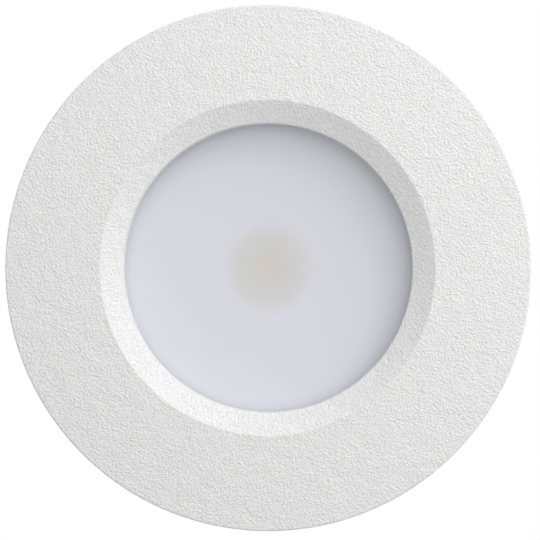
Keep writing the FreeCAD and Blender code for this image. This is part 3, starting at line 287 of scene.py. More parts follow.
def eased(node: str, name: str, edge: float = 0.14) -> bpy.types.Object:
    """Copies a CAD node's mesh, merges it, and eases its edges by a bevel.

    Args:
        node: The CAD node.
        name: The new piece's name.
        edge: The bevel's width in millimetres.

    Returns:
        The new piece.
    """
    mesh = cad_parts[node].data.copy()
    work = bmesh.new()
    work.from_mesh(mesh)
    bmesh.ops.remove_doubles(work, verts=work.verts, dist=2e-6)
    bmesh.ops.dissolve_limit(work, angle_limit=math.radians(1.0), verts=work.verts,
                             edges=work.edges)
    work.to_mesh(mesh)
    work.free()
    piece = finish_mesh(name, mesh, 40.0)
    bevel = piece.modifiers.new("eased_edges", "BEVEL")
    bevel.width, bevel.segments = edge * MM, 3
    bevel.limit_method, bevel.angle_limit = "ANGLE", math.radians(35.0)
    bevel.harden_normals = True
    return piece


def spun(grid: np.ndarray, degrees: float) -> np.ndarray:
    """Turns points about the upright axis: (x cos t - y sin t, x sin t + y cos t, z)."""
    c, s = math.cos(math.radians(degrees)), math.sin(math.radians(degrees))
    return grid @ np.array([[c, s, 0], [-s, c, 0], [0, 0, 1.0]])


@dataclass(frozen=True)
class BoltCircle:
    """Screws set round the axis: their circle's radius in millimetres and their angles."""

    radius: float
    angles: tuple[float, ...]

    def places(self, z: float = 0.0) -> list[tuple[float, float, float]]:
        """Gives each screw's place, at the height z."""
        turns = [math.radians(a) for a in self.angles]
        return [(self.radius * math.cos(t), self.radius * math.sin(t), z) for t in turns]


FLANGE_BOLTS = BoltCircle(30.0, (90.0, 210.0, 330.0))
BOARD_BOLTS = BoltCircle(17.01, (90.0, 210.0, 330.0))
LID_BOLTS = BoltCircle(28.2, (30.0, 150.0, 270.0))


# Finishes


class Grain(Enum):
    """The kinds of surface that a finish can have."""

    ORANGE_PEEL = "orange_peel"
    CAST = "cast"
    BRUSHED = "brushed"
    PLATED = "plated"
    MOULDED = "moulded"
    RUBBER = "rubber"
    FOAM = "foam"


class Tree:
    """A node tree, written a node at a time."""

    def __init__(self, owner: bpy.types.Material | bpy.types.World) -> None:
        """Starts on the nodes of a material or a world."""
        owner.use_nodes = True
        self.nodes = owner.node_tree.nodes
        self.links = owner.node_tree.links

    def feed(self, socket: Socket, value: Value) -> None:
        """Sets a socket to a number, a vector, a colour or another node's output."""
        if isinstance(value, bpy.types.NodeSocket):
            self.links.new(value, socket)
        elif socket.type == "RGBA":
            socket.default_value = (*value, 1.0)
        else:
            socket.default_value = value

    def add(self, kind: str, *first: Value, **named: Value) -> bpy.types.Node:
        """Adds a node.

        Args:
            kind: The node's type, less its common first part.
            first: What its first inputs are set to, in order.
            named: What other inputs are set to, by their names with underscores.

        Returns:
            The node.
        """
        node = self.nodes.new("ShaderNode" + kind)
        for socket, value in zip(node.inputs, first):
            self.feed(socket, value)
        for name, value in named.items():
            self.feed(node.inputs[name.replace("_", " ")], value)
        return node

    def maths(self, kind: str, *values: float | Socket) -> Socket:
        """Applies one operation to numbers or sockets."""
        node = self.add("Math", *values)
        node.operation = kind
        return node.outputs[0]

    def ranged(self, value: Socket, start: float, end: float, low: float, high: float) -> Socket:
        """Carries a value from the range start to end onto the range low to high."""
        node = self.add("MapRange", Value=value, From_Min=start, From_Max=end, To_Min=low,
                        To_Max=high)
        return node.outputs[0]

    def seen(self) -> Socket:
        """Gives 1 for camera, glossy and transmission rays and 0 for the rest."""
        path = self.add("LightPath").outputs
        near = self.maths("MAXIMUM", path["Is Camera Ray"], path["Is Glossy Ray"])
        return self.maths("MAXIMUM", near, path["Is Transmission Ray"])


class Recipe(Tree):
    """The node tree of one finish, round one principled shader."""

    def __init__(self, name: str) -> None:
        """Starts a material."""
        self.material = bpy.data.materials.new(name)
        super().__init__(self.material)
        self.shader = self.nodes["Principled BSDF"]
        self.place = self.add("TexCoord").outputs["Object"]

    def set(self, **values: Value) -> None:
        """Sets the shader's sockets, named with underscores."""
        for name, value in values.items():
            self.feed(self.shader.inputs[name.replace("_", " ")], value)

    def stretched(self, scale: tuple[float, float, float]) -> Socket:
        """Gives the piece's own coordinates, stretched along each axis."""
        return self.add("Mapping", Vector=self.place, Scale=scale).outputs["Vector"]

    def noise(self, size: float, detail: float = 2.0, rough: float = 0.5,
              place: Socket | None = None) -> Socket:
        """Makes noise whose lumps are about size millimetres across, round 0.5.

        Args:
            size: The lumps' size in millimetres.
            detail: How many finer layers lie on it.
            rough: How strong the finer layers are.
            place: The coordinates that it reads, or None for the piece's own.

        Returns:
            The noise value.
        """
        node = self.add("TexNoise", Vector=place or self.place, Scale=1.0 / (size * MM),
                        Detail=detail, Roughness=rough)
        return node.outputs["Fac"]

    def cells(self, size: float, smooth: float) -> Socket:
        """Makes smooth rounded cells of size millimetres, low at their middles."""
        node = self.add("TexVoronoi", Vector=self.place, Scale=1.0 / (size * MM))
        node.feature = "SMOOTH_F1"
        node.inputs["Smoothness"].default_value = smooth
        return node.outputs["Distance"]

    def scaled(self, noise: Socket, low: float, high: float) -> Socket:
        """Carries noise onto the range low to high."""
        return self.ranged(noise, NOISE_LOW, NOISE_HIGH, low, high)

    def ramp(self, value: Socket, stops: list[tuple[float, Colour]], kind: str = "EASE") -> Socket:
        """Makes a colour from a value by stops, eased between them unless kind says else."""
        node = self.add("ValToRGB", value)
        node.color_ramp.interpolation = kind
        elements = node.color_ramp.elements
        for k, (at, colour) in enumerate(stops):
            element = elements[k] if k < len(elements) else elements.new(at)
            element.position = at
            element.color = (*colour, 1.0)
        return node.outputs["Color"]

    def bumped(self, height: Socket, depth: float) -> None:
        """Raises the surface by height times depth millimetres, on top of earlier bumps."""
        node = self.add("Bump", Height=height, Strength=1.0, Distance=depth * MM)
        before = self.shader.inputs["Normal"]
        if before.is_linked:
            self.links.new(before.links[0].from_socket, node.inputs["Normal"])
        self.links.new(node.outputs["Normal"], before)

    def dress(self, piece: bpy.types.Object) -> bpy.types.Object:
        """Gives a piece this material alone."""
        piece.data.materials.clear()
        piece.data.materials.append(self.material)
        return piece


@dataclass(frozen=True)
class Finish:
    """A finish of one colour: its grain, how rough it is and how its tone wanders."""

    name: str
    colour: Colour
    grain: Grain
    roughness: float = 0.5
    metallic: float = 0.0
    size: float = 0.5
    depth: float = 0.02
    wander: float = 0.06

    def recipe(self) -> Recipe:
        """Writes the finish's material.

        The tone is the colour times 1 plus or minus wander, led by two parts of slow noise
        to one of fine. Roughness follows the slow noise. The bump is the grain's own.

        Returns:
            The recipe, with its material.
        """
        r = Recipe(self.name)
        slow = r.noise(self.size * 14, 3.0, 0.55)
        fine = r.noise(self.size * 0.9, 2.0, 0.6)
        tone = r.maths("ADD", r.maths("MULTIPLY", slow, 0.65), r.maths("MULTIPLY", fine, 0.35))
        dark = tuple(c * (1 - self.wander) for c in self.colour)
        light = tuple(min(1.0, c * (1 + self.wander)) for c in self.colour)
        r.set(
            Base_Color=r.ramp(tone, [(NOISE_LOW, dark), (NOISE_HIGH, light)], "LINEAR"),
            Metallic=self.metallic,
            Roughness=r.scaled(slow, self.roughness * 0.86, self.roughness * 1.14),
        )
        self.texture(r)
        return r

    def texture(self, r: Recipe) -> None:
        """Adds the bump of this finish's grain; on orange peel it also paints shade into the
        grain's pits and light onto its peaks, in place of the wandering tone.
        """
        if self.grain is Grain.ORANGE_PEEL:
            pebble = r.maths("ADD", r.maths("MULTIPLY", r.noise(self.size, 2.0, 0.5), 0.8),
                             r.maths("MULTIPLY", r.cells(self.size * 1.1, 0.7), -0.4))
            # Painted shade and light: the grain's pits are painted darker and its peaks lighter.
            painted_pit_shade, painted_peak_light = (tuple(min(1.0, c * tone) for c in self.colour)
                         for tone in (0.945, 1.035))
            r.set(Base_Color=r.ramp(pebble, [(0.08, painted_pit_shade), (0.36, painted_peak_light)], "LINEAR"))
            r.bumped(pebble, self.depth)
            r.bumped(r.noise(self.size * 7, 1.0), self.depth * 0.6)
        elif self.grain is Grain.CAST:
            r.bumped(r.noise(self.size, 4.0, 0.65), self.depth)
            r.bumped(r.noise(self.size * 9, 2.0), self.depth * 2)
        elif self.grain is Grain.BRUSHED:
            lines = r.noise(self.size, 4.0, 0.7, r.stretched((1.0, 1.0, 0.04)))
            r.bumped(lines, self.depth)
        elif self.grain is Grain.PLATED:
            r.bumped(r.noise(self.size, 3.0, 0.55), self.depth)
        elif self.grain is Grain.FOAM:
            r.bumped(r.cells(self.size, 0.15), self.depth)
            r.bumped(r.cells(self.size * 2.7, 0.3), self.depth)
        else:
            r.bumped(r.noise(self.size, 3.0, 0.6), self.depth)


# Its grain carries painted shade in the pits and painted light on the peaks.
POWDER_COAT = Finish("white_fine_texture_powder_coat", (0.834, 0.834, 0.831),
                     Grain.ORANGE_PEEL, 0.46, size=0.32, depth=0.23, wander=0.03)
CAST_ALUMINIUM = Finish("bead_blasted_cast_aluminium", (0.56, 0.57, 0.58), Grain.CAST,
                        0.5, 0.85, size=0.35, depth=0.03, wander=0.07)
LED_BOARD = Finish("led_board_aluminium", (0.84, 0.84, 0.82), Grain.BRUSHED, 0.35, 0.1,
                   size=0.3, depth=0.004)
ZINC_STEEL = Finish("bright_zinc_plated_steel", (0.66, 0.68, 0.71), Grain.PLATED, 0.3, 1.0,
                    size=0.5, depth=0.006, wander=0.09)
STAINLESS = Finish("pressed_stainless_steel", (0.615, 0.612, 0.605), Grain.BRUSHED, 0.34, 1.0,
                   size=0.3, depth=0.0015, wander=0.05)
SPRING_STEEL = Finish("drawn_spring_steel", (0.48, 0.48, 0.49), Grain.BRUSHED, 0.34, 1.0,
                      size=0.25, depth=0.0015, wander=0.1)
FOAM = Finish("closed_cell_foam", (0.062, 0.064, 0.068), Grain.FOAM, 0.9, size=0.28,
              depth=0.08, wander=0.2)
SILICONE = Finish("clear_silicone", (0.63, 0.65, 0.66), Grain.RUBBER, 0.42, size=0.4,
                  depth=0.006, wander=0.05)
REFLECTOR_WHITE = Finish("matt_white_reflector", (0.87, 0.87, 0.86), Grain.MOULDED, 0.62,
                         size=0.2, depth=0.006, wander=0.02)
HOLDER_PLASTIC = Finish("white_heat_proof_plastic", (0.74, 0.73, 0.69), Grain.MOULDED, 0.5,
                        size=0.22, depth=0.01, wander=0.04)
THERMAL_PAD = Finish("grey_thermal_pad", (0.3, 0.32, 0.35), Grain.RUBBER, 0.85, size=0.3,
                     depth=0.02, wander=0.1)
FERRITE = Finish("pressed_ferrite", (0.05, 0.05, 0.054), Grain.CAST, 0.62, size=0.25,
                 depth=0.02, wander=0.18)
SLEEVE = Finish("capacitor_sleeve", (0.014, 0.026, 0.075), Grain.MOULDED, 0.32, size=0.5,
                depth=0.004, wander=0.1)
CHIP_PLASTIC = Finish("black_moulded_epoxy", (0.018, 0.018, 0.02), Grain.MOULDED, 0.6,
                      size=0.12, depth=0.01, wander=0.15)
TERMINAL_PLASTIC = Finish("grey_terminal_plastic", (0.27, 0.3, 0.31), Grain.MOULDED, 0.48,
                          size=0.25, depth=0.012, wander=0.06)
LEAD_RED = Finish("red_silicone_lead", (0.42, 0.018, 0.014), Grain.RUBBER, 0.42, size=0.3,
                  depth=0.006, wander=0.08)
LEAD_BLACK = Finish("black_silicone_lead", (0.02, 0.02, 0.022), Grain.RUBBER, 0.42,
                    size=0.3, depth=0.006, wander=0.15)
BLACK_RUBBER = Finish("black_rubber", (0.022, 0.022, 0.023), Grain.RUBBER, 0.68, size=0.3,
                      depth=0.014, wander=0.16)
GLAND_NYLON = Finish("black_nylon", (0.026, 0.027, 0.03), Grain.MOULDED, 0.44, size=0.24,
                     depth=0.014, wander=0.12)
PAD_RUBBER = Finish("grey_clip_pad_rubber", (0.075, 0.077, 0.08), Grain.RUBBER, 0.72,
                    size=0.3, depth=0.02, wander=0.14)


@dataclass(frozen=True)
class Diffuser:
    """The frosted lens: a cool white, with painted light in the middle that stands in for the LED's
    yellow phosphor showing through.
    """

    cool: Colour = (0.714, 0.714, 0.777)
    painted_ring: Colour = (0.64, 0.637, 0.618)
    painted_glow: Colour = (0.654, 0.618, 0.588)
    painted_glow_reach: float = 1.9
    painted_ring_reach: float = 3.2
    spread: float = 8.5

    def recipe(self) -> Recipe:
        """Writes the lens's material.

        The distance from the axis picks the colour: a painted yellowish glow over the LED, then a
        painted dimmer ring, then cool.

        Returns:
            The recipe, with its material.
        """
        r = Recipe("frosted_diffuser")
        x, y, _ = r.add("SeparateXYZ", r.place).outputs
        square = r.maths("ADD", r.maths("MULTIPLY", x, x), r.maths("MULTIPLY", y, y))
        away = r.maths("DIVIDE", r.maths("SQRT", square), self.spread * MM)
        cloud = r.scaled(r.noise(3.0, 2.0), -0.05, 0.05)
        # Painted light: the middle is painted with the phosphor's glow through the lens, and a
        # dimmer ring round it.
        stops = [(self.painted_glow_reach / self.spread, self.painted_glow), (self.painted_ring_reach / self.spread, self.painted_ring),
                 (1.0, self.cool)]
        colour = r.ramp(r.maths("ADD", away, cloud), stops)
        r.set(Base_Color=colour, Roughness=r.scaled(r.noise(0.4, 3.0), 0.38, 0.5),
              Specular_IOR_Level=0.35)
        r.bumped(r.noise(0.22, 3.0, 0.6), 0.006)
        return r


def fitted(piece: bpy.types.Object, finish: Finish | Diffuser, node: str,
           body: str = FIXED) -> bpy.types.Object:
    """Dresses a piece, puts it in its node's place and rides it on a body.

    Args:
        piece: The piece.
        finish: Its finish.
        node: The node that it stands for.
        body: The body that carries it.

    Returns:
        The piece.
    """
    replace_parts(finish.recipe().dress(piece), node)
    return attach(piece, body)


# The light's front


@dataclass
class Trim:
    """The white bezel, its lens pocket, collar, spigot and screw bosses, in millimetres."""

    pocket: float = 22.5
    ledge_z: float = -1.0
    mouth: float = 22.6
    mouth_z: float = -4.0
    crest: float = 26.1
    crest_z: float = -5.6
    outer: float = 41.0
    edge_z: float = -4.4
    bulge: float = 0.1
    skirt: float = 39.8
    skirt_z: float = -0.4
    web_z: float = -1.6
    spigot_outer: float = 33.5
    spigot_inner: float = 32.2
    spigot_z: float = 3.0
    collar_outer: float = 28.6
    collar_inner: float = 25.3
    collar_z: float = 6.0
    boss: float = 3.3
    boss_z: float = -2.4
    steps: int = 288

    def dome(self, count: int = 9) -> list[tuple[float, float, float]]:
        """Works out the domed face from the crest to its edge.

        At the share s of the way out, r = crest + s (outer - crest) and
        z = crest_z + s (edge_z - crest_z) - 4 bulge s (1 - s).

        Args:
            count: The number of points between the two ends.

        Returns:
            The points between the ends, with no rounding.
        """
        s = np.linspace(0, 1, count + 2)[1:-1]
        r = self.crest + s * (self.outer - self.crest)
        z = self.crest_z + s * (self.edge_z - self.crest_z) - 4 * self.bulge * s * (1 - s)
        return [(float(a), float(b), 0.0) for a, b in zip(r, z)]

    def profile(self) -> np.ndarray:
        """Gives the bezel's rounded half section, from the ledge down and round."""
        corners = [(self.pocket, self.ledge_z, 0.2), (self.mouth, self.mouth_z, 0.15)]
        corners += [(self.crest, self.crest_z, 0.35), *self.dome()]
        corners += [(self.outer, self.edge_z, 0.3), (self.outer, self.skirt_z, 0.2)]
        corners += [(self.skirt, self.skirt_z, 0.15), (self.skirt, self.web_z, 0.2)]
        corners += [(self.spigot_outer, self.web_z, 0.2), (self.spigot_outer, self.spigot_z, 0.35)]
        corners += [(self.spigot_inner, self.spigot_z, 0.35), (self.spigot_inner, self.web_z, 0.25)]
        corners += [(self.collar_outer, self.web_z, 0.3), (self.collar_outer, self.collar_z, 0.2)]
        corners += [(self.collar_inner, self.collar_z, 0.2)]
        corners += [(self.collar_inner, self.ledge_z, 0.15)]
        return rounded(corners, arc=6)

    def make(self) -> list[bpy.types.Object]:
        """Builds the bezel with its three bosses."""
        bosses = [post(self.boss, self.boss_z, self.collar_z, 0.2, x, y)
                  for x, y, _ in FLANGE_BOLTS.places()]
        piece = build("bezel", [revolve(self.profile(), self.steps), *bosses])
        return [fitted(piece, POWDER_COAT, "trim_ring")]


@dataclass
class Front:
    """The lens and the foam ring that the soffit board presses on."""

    lens_radius: float = 25.0
    lens_low: float = -0.2
    lens_high: float = 2.8
    foam_inner: float = 34.6
    foam_outer: float = 39.4
    foam_thick: float = 1.6
    foam_crown: float = 0.1
    foam_sag: float = 0.14
    foam_steps: int = 240

    def lens(self) -> bpy.types.Object:
        """Builds the frosted disc, its edges eased."""
        disc = post(self.lens_radius, self.lens_low, self.lens_high, 0.3, 0.0, 0.0, 192)
        return fitted(build("frosted_lens", [disc]), Diffuser(), "diffuser_lens")

    def foam(self) -> bpy.types.Object:
        """Builds the foam ring.

        Its top is crowned between its rounded edges, and wavers in slow waves round the
        ring: z += 0.02 s (sin 5t + sin (11t + 1)) at the angle t and the share s of its
        thickness.

        Returns:
            The ring.
        """
        low, high = -self.foam_thick, -self.foam_sag
        middle, crown = (self.foam_inner + self.foam_outer) / 2, high + self.foam_crown
        profile = rounded([(self.foam_outer, low, 0.2), (self.foam_outer, high, 0.5),
                           (middle + 1.0, crown, 0), (middle - 1.0, crown, 0),
                           (self.foam_inner, high, 0.5), (self.foam_inner, low, 0.2)])
        sheet = revolve(profile, self.foam_steps)
        turn = np.linspace(0, FULL_TURN, self.foam_steps, endpoint=False)[:, None]
        share = (profile[None, :, 1] - low) / self.foam_thick
        wave = 0.02 * (np.sin(5 * turn) + np.sin(11 * turn + 1.0)) * np.clip(share, 0, 1)
        sheet.points[..., 2] += wave * MM
        return fitted(build("foam_ring", [sheet]), FOAM, "ceiling_gasket")

    def make(self) -> list[bpy.types.Object]:
        """Builds the lens and the foam ring."""
        return [self.lens(), self.foam()]


# The body behind the soffit


@dataclass
class Body:
    """The cast housing with its fins, ears, lugs and clip flats, in millimetres."""

    inner: float = 23.6
    outer: float = 25.5
    flange: float = 28.6
    chamber: float = 22.5
    base: float = 6.0
    flange_top: float = 9.5
    web_low: float = 16.0
    web_high: float = 20.0
    rim: float = 39.0
    fin_reach: float = 6.8
    fin_half: float = 0.86
    fin_root: float = 0.8
    fin_drop: float = 3.0
    lug: float = 3.3
    pillar: float = 2.6
    ear: float = 3.4

    def shell(self) -> Sheet:
        """Turns the body's section: flange, cavity, web and driver chamber."""
        corners = [(0, self.web_low, 0), (self.inner, self.web_low, 0.4)]
        corners += [(self.inner, self.base, 0.2), (self.flange, self.base, 0.25)]
        corners += [(self.flange, self.flange_top, 0.5), (self.outer, self.flange_top, 0.9)]
        corners += [(self.outer, self.rim, 0.35), (self.chamber, self.rim, 0.2)]
        corners += [(self.chamber, self.web_high, 0.6), (0, self.web_high, 0)]
        return revolve(rounded(corners, arc=6), 216, closed=False)

    def fin(self, degrees: float) -> Sheet:
        """Makes one tapered fin with a flared root and rounded edges.

        At the share s of the way out, the fin's half thickness is fin_half - 0.1 s, plus a
        flare of 0.9 (1 - sqrt(1 - (1 - 6.25 s)^2)) on its root. Its tip is an ellipse, and
        its reach falls by 1 mm for each millimetre of the top fin_drop.

        Args:
            degrees: Where it stands round the axis.

        Returns:
            The fin's skin.
        """
        low, high, drop = self.flange_top, self.rim - 1.0, self.fin_drop
        z = np.concatenate([[low, low], low + np.array([0.15, 0.4]),
                            np.linspace(low + 1.5, high - drop - 0.4, 4),
                            high - drop + np.array([0.2, 1.0, 2.0]),
                            high - np.array([0.4, 0.12, 0.0, 0.0])])
        edge = np.minimum(z - low, high - z).clip(0, 0.4)
        thin = np.sqrt(1 - (1 - edge / 0.4) ** 2) * 0.35 + 0.65
        thin[[0, -1]] = 0.0
        reach = self.fin_reach - np.maximum(0, z - (high - drop)) - 0.25 * (1 - thin.clip(0.65))
        s = np.concatenate([np.linspace(0, 0.16, 6), np.linspace(0.3, 0.86, 4)])
        flare = 0.9 * (1 - np.sqrt(1 - (1 - 6.25 * s).clip(0) ** 2))
        half = self.fin_half - 0.1 * s + flare
        tip = np.linspace(0, math.pi / 2, 6)[1:]
        far = np.concatenate([s, 0.86 + 0.14 * np.sin(tip)])
        half = np.concatenate([half, half[-1] * np.cos(tip)])
        side = np.concatenate([far, far[-2::-1]])
        thick = np.concatenate([half, -half[-2::-1]])
        radius = self.outer - self.fin_root + side[None] * (reach[:, None] + self.fin_root)
        across = thick[None] * thin[:, None]
        grid = np.stack([radius, across, z[:, None] + 0 * radius], axis=-1)
        return Sheet(spun(grid, degrees) * MM)

    def flat(self, side: float) -> Sheet:
        """Makes the flat on one side that carries a clip, with eased edges."""
        half, low, high = 6.18, 13.19, 38.1
        outline = rounded([(-half, low), (half, low), (half, high), (-half, high)], 0.8)
        grid = slab(outline, 23.4, 26.0, 0.3)[..., [2, 0, 1]] * np.array([side, 1, 1])
        return Sheet(grid * MM, caps=True)

    def make(self) -> list[bpy.types.Object]:
        """Builds the housing as one casting."""
        sheets = [self.shell()]
        sheets += [self.fin(a) for a in range(0, 360, 10)
                   if 40 <= a % 180 <= 140 and a % 180 != 90]
        for (x, y, _), (u, v, _) in zip(FLANGE_BOLTS.places(), BOARD_BOLTS.places()):
            sheets.append(post(self.lug, self.base, self.flange_top, 0.35, x, y))
            sheets.append(post(self.pillar, 18.0, 24.0, 0.2, u, v, 28))
        sheets += [post(self.ear, self.flange_top, self.rim, 0.35, x, y)
                   for x, y, _ in LID_BOLTS.places()]
        sheets += [self.flat(1.0), self.flat(-1.0)]
        piece = build("cast_housing", sheets)
        return [fitted(piece, CAST_ALUMINIUM, "heatsink_housing")]


@dataclass
class Cover:
    """The lid of the driver chamber, with three ears and a seat for the gland."""

    radius: float = 26.0
    low: float = 39.0
    high: float = 42.0
    seat: float = 42.5
    hole: float = 6.2
    ear: float = 3.4
    bevel: float = 0.8

    def make(self) -> list[bpy.types.Object]:
        """Builds the lid, whose upper edges are bevelled and eased."""
        shoulder = self.high - self.bevel
        corners = [(self.hole, self.low, 0.1), (self.radius, self.low, 0.25)]
        corners += [(self.radius, shoulder, 0.3), (self.radius - self.bevel, self.high, 0.3)]
        corners += [(10.5, self.high, 0.35), (10.0, self.seat, 0.2)]
        corners += [(self.hole, self.seat, 0.15)]
        ear = rounded([(0, self.low, 0), (self.ear, self.low, 0.2), (self.ear, shoulder, 0.3),
                       (self.ear - self.bevel, self.high, 0.25), (0, self.high, 0)])
        ears = [revolve(ear, 48, x, y, closed=False) for x, y, _ in LID_BOLTS.places()]
        piece = build("chamber_lid", [revolve(rounded(corners), 192), *ears])
        return [fitted(piece, CAST_ALUMINIUM, "rear_cover")]


@dataclass
class Screw:
    """A pan-head screw with a cross recess, in millimetres, its head up."""

    shank: float
    head: float
    height: float
    length: float
    recess: float = 0.6

    def sheets(self) -> list[np.ndarray]:
        """Works out the head and the shank.

        With r as a share of the head's radius, the head's top is height (1 - 0.45 r^2.6),
        less a cross that lies where min(|x|, |y|) is under 0.62 of the recess and r under
        0.64, and is deepest at the middle.

        Returns:
            The head and the shank as grids about the screw's own seat.
        """
        r = np.array([0, 0.1, 0.2, 0.3, 0.42, 0.52, 0.58, 0.62, 0.68, 0.8, 0.9, 0.97, 1.0])
        top = np.stack([self.head * r, self.height * (1 - 0.45 * r ** 2.6)], axis=1)
        wall = np.array([[1.0, 0.25], [0.99, 0.08], [0.95, 0.0], [0.0, 0.0]])
        head = lathe(np.concatenate([top, wall * np.array([self.head, self.height])]), 72)
        face = head[:, :len(r)]
        near = np.abs(face[..., :2]).min(-1)
        cross = np.clip((self.recess * 0.62 - near) / (self.recess * 0.24), 0, 1)
        cross = cross * np.clip((0.64 - r) / 0.05, 0, 1)
        face[..., 2] -= 0.42 * self.height * cross * (1 - 0.3 * r)
        body = rounded([(0, 0.2, 0), (self.shank, 0.2, 0.1), (self.shank, -self.length, 0.3),
                        (0, -self.length, 0)])
        return [head, lathe(body, 24)]


def screws(name: str, node: str, screw: Screw, seats: list[tuple[float, float, float]],
           way: str = "up") -> bpy.types.Object:
    """Builds a group of like screws.

    Args:
        name: The piece's name.
        node: The node that it stands for.
        screw: The screw.
        seats: Where the heads sit, in millimetres.
        way: Where the heads face: up, right or left.

    Returns:
        The piece.
    """
    sheets = []
    for seat in seats:
        for grid in screw.sheets():
            if way == "right":
                grid = grid[..., [2, 1, 0]] * np.array([1, 1, -1])
            elif way == "left":
                grid = grid[..., [2, 1, 0]] * np.array([-1, 1, 1])
            sheets.append(Sheet((grid + np.array(seat)) * MM, True, False))
    return fitted(build(name, sheets), ZINC_STEEL, node)


def soft_ring(name: str, node: str, finish: Finish,
              corners: list[tuple[float, ...]], steps: int) -> bpy.types.Object:
    """Builds a soft ring from its section, given by its corners and their radii."""
    return fitted(build(name, [revolve(rounded(corners), steps)]), finish, node)


@dataclass
class Gland:
    """The nylon cable gland: its stem, its domed nut, its washer and its seal."""

    flats: float = 15.0
    mouth: float = 4.0
    seal: float = 4.6
    seal_low: float = 48.3
    seal_high: float = 55.4
    nut_low: float = 48.1
    nut_high: float = 57.1
    crown_rise: float = 3.2
    stem_low: float = 34.0
    stem_high: float = 53.8
    stem_bore: float = 4.65
    thread: float = 6.0
    pitch: float = 1.5
    steps: int = 144

    def hexagonal(self, wall: np.ndarray, crown: np.ndarray) -> np.ndarray:
        """Works out a hexagon's skin under a turned envelope.

        At the angle t the hexagon's reach is (flats / 2) / cos(t'), with t' the angle from
        the nearest flat's middle, held near its corners. The radius is the smaller of that
        and the envelope's, and within a band of each other it is their smooth minimum,
        -log(exp(-9 a) + exp(-9 b)) / 9.

        Args:
            wall: Heights up the outside.
            crown: The envelope's radius at each height.

        Returns:
            The grid, angle by height.
        """
        t = np.linspace(0, FULL_TURN, self.steps, endpoint=False)[:, None]
        corner_turn, sharpness, band = math.radians(28.2), 9.0, 0.6
        off = np.abs((t + math.pi / 6) % (math.pi / 3) - math.pi / 6)
        reach = self.flats / 2 / np.cos(np.minimum(off, corner_turn))
        both = np.stack(np.broadcast_arrays(reach, crown[None]), axis=-1)
        soft = -np.log(np.exp(-sharpness * both).sum(-1)) / sharpness
        radius = np.where(np.abs(both[..., 0] - both[..., 1]) < band, soft, both.min(-1))
        return np.stack([radius * np.cos(t), radius * np.sin(t), wall[None] + 0 * t], axis=-1)

    def nut(self) -> bpy.types.Object:
        """Builds the domed nut with a rounded mouth.

        Its crown leaves the corners crown_rise below its top and curves in to the mouth's
        lip as a quarter of an ellipse.

        Returns:
            The nut.
        """
        a = np.linspace(0, math.pi / 2, 12)
        corner, top = self.flats / math.sqrt(3), self.flats / 2 - 1.8
        shoulder = self.nut_high - self.crown_rise
        wall = np.concatenate([self.nut_low + np.array([0, 0.15, 0.6, 1.3, 3.9]),
                               shoulder + self.crown_rise * np.sin(a)])
        crown = np.concatenate([[7.5, 7.9, 8.4, corner + 0.3, corner + 0.3],
                                top + (corner - top) * np.cos(a)])
        outside = self.hexagonal(wall, crown)
        lip = self.nut_high - np.array([0, 0.02, 0.15, 0.4])
        lip = np.stack([self.mouth + np.array([1.0, 0.4, 0.12, 0]), lip], axis=1)
        inner = [[self.mouth, self.seal_high], [self.thread, self.seal_high - 0.2],
                 [self.thread, self.nut_low]]
        inside = lathe(np.concatenate([lip, inner]), self.steps)
        piece = build("gland_cap", [Sheet(np.concatenate([outside, inside], 1) * MM, True)], 38.0)
        return fitted(piece, GLAND_NYLON, "gland_nut")

    def stem(self) -> bpy.types.Object:
        """Builds the stem: its thread, its hexagon and the collar under the nut.

        The thread has a single start: r = thread - 0.18 (1 + cos(2 pi z / pitch + t)).

        Returns:
            The stem.
        """
        z = np.linspace(self.stem_low, self.stem_high, 133)
        t = np.linspace(0, FULL_TURN, 96, endpoint=False)[:, None]
        thread = self.thread - 0.18 * (1 + np.cos(FULL_TURN * z[None] / self.pitch + t))
        bore = np.full_like(t, self.stem_bore)
        r = np.concatenate([bore, thread, bore, bore], axis=1)
        z = np.concatenate([z[:1], z, z[-1:], z[:1]])
        thread = np.stack([r * np.cos(t), r * np.sin(t), z[None] + 0 * t], axis=-1)
        wall = np.array([43.3, 43.42, 43.9, 44.6, 46.6, 47.2, 47.68, 47.8])
        crown = np.array([8.0, 8.2, 8.55, 9.0, 9.0, 8.55, 8.2, 8.0])
        ring = self.hexagonal(wall, crown)
        inward = np.array([0.65, 0.65, 1.0])
        ring = np.concatenate([ring[:, :1] * inward, ring, ring[:, -1:] * inward], axis=1)
        piece = build("gland_stem", [Sheet(thread * MM, True), Sheet(ring * MM, True)], 38.0)
        return fitted(piece, GLAND_NYLON, "gland_body")

    def rings(self) -> list[bpy.types.Object]:
        """Builds the washer under the hexagon and the seal in the mouth."""
        washer = [(6.2, 42.5), (8.5, 42.5, 0.3), (8.5, 43.3, 0.3), (6.2, 43.3)]
        seal = [(3.25, self.seal_low, 0.2), (self.seal, self.seal_low, 0.2),
                (self.seal, self.seal_high, 0.3), (3.25, self.seal_high, 0.5)]
        return [soft_ring("gland_gasket", "gland_washer", BLACK_RUBBER, washer, 72),
                soft_ring("gland_bush", "gland_seal", BLACK_RUBBER, seal, 72)]

    def make(self) -> list[bpy.types.Object]:
        """Builds the gland."""
        return [self.stem(), self.nut(), *self.rings()]


# Inside the light


@dataclass(frozen=True)
class Circuit:
    """The driver board: green mask over its tracks, which follow a square grid."""

    mask: Colour = (0.012, 0.10, 0.045)
    track: Colour = (0.03, 0.17, 0.075)
    pitch: float = 2.2

    def recipe(self) -> Recipe:
        """Writes the board's material.

        A track lies where a cell's distance passes 0.42, and stands 0.035 mm up.

        Returns:
            The recipe, with its material.
        """
        r = Recipe("green_circuit_board")
        node = r.add("TexVoronoi", Vector=r.place, Scale=1.0 / (self.pitch * MM), Randomness=0.35)
        node.distance = "CHEBYCHEV"
        track = r.maths("GREATER_THAN", node.outputs["Distance"], 0.42)
        r.set(Base_Color=r.ramp(track, [(0.0, self.mask), (1.0, self.track)], "LINEAR"),
              Roughness=r.scaled(r.noise(1.5), 0.28, 0.42))
        r.bumped(track, 0.035)
        return r


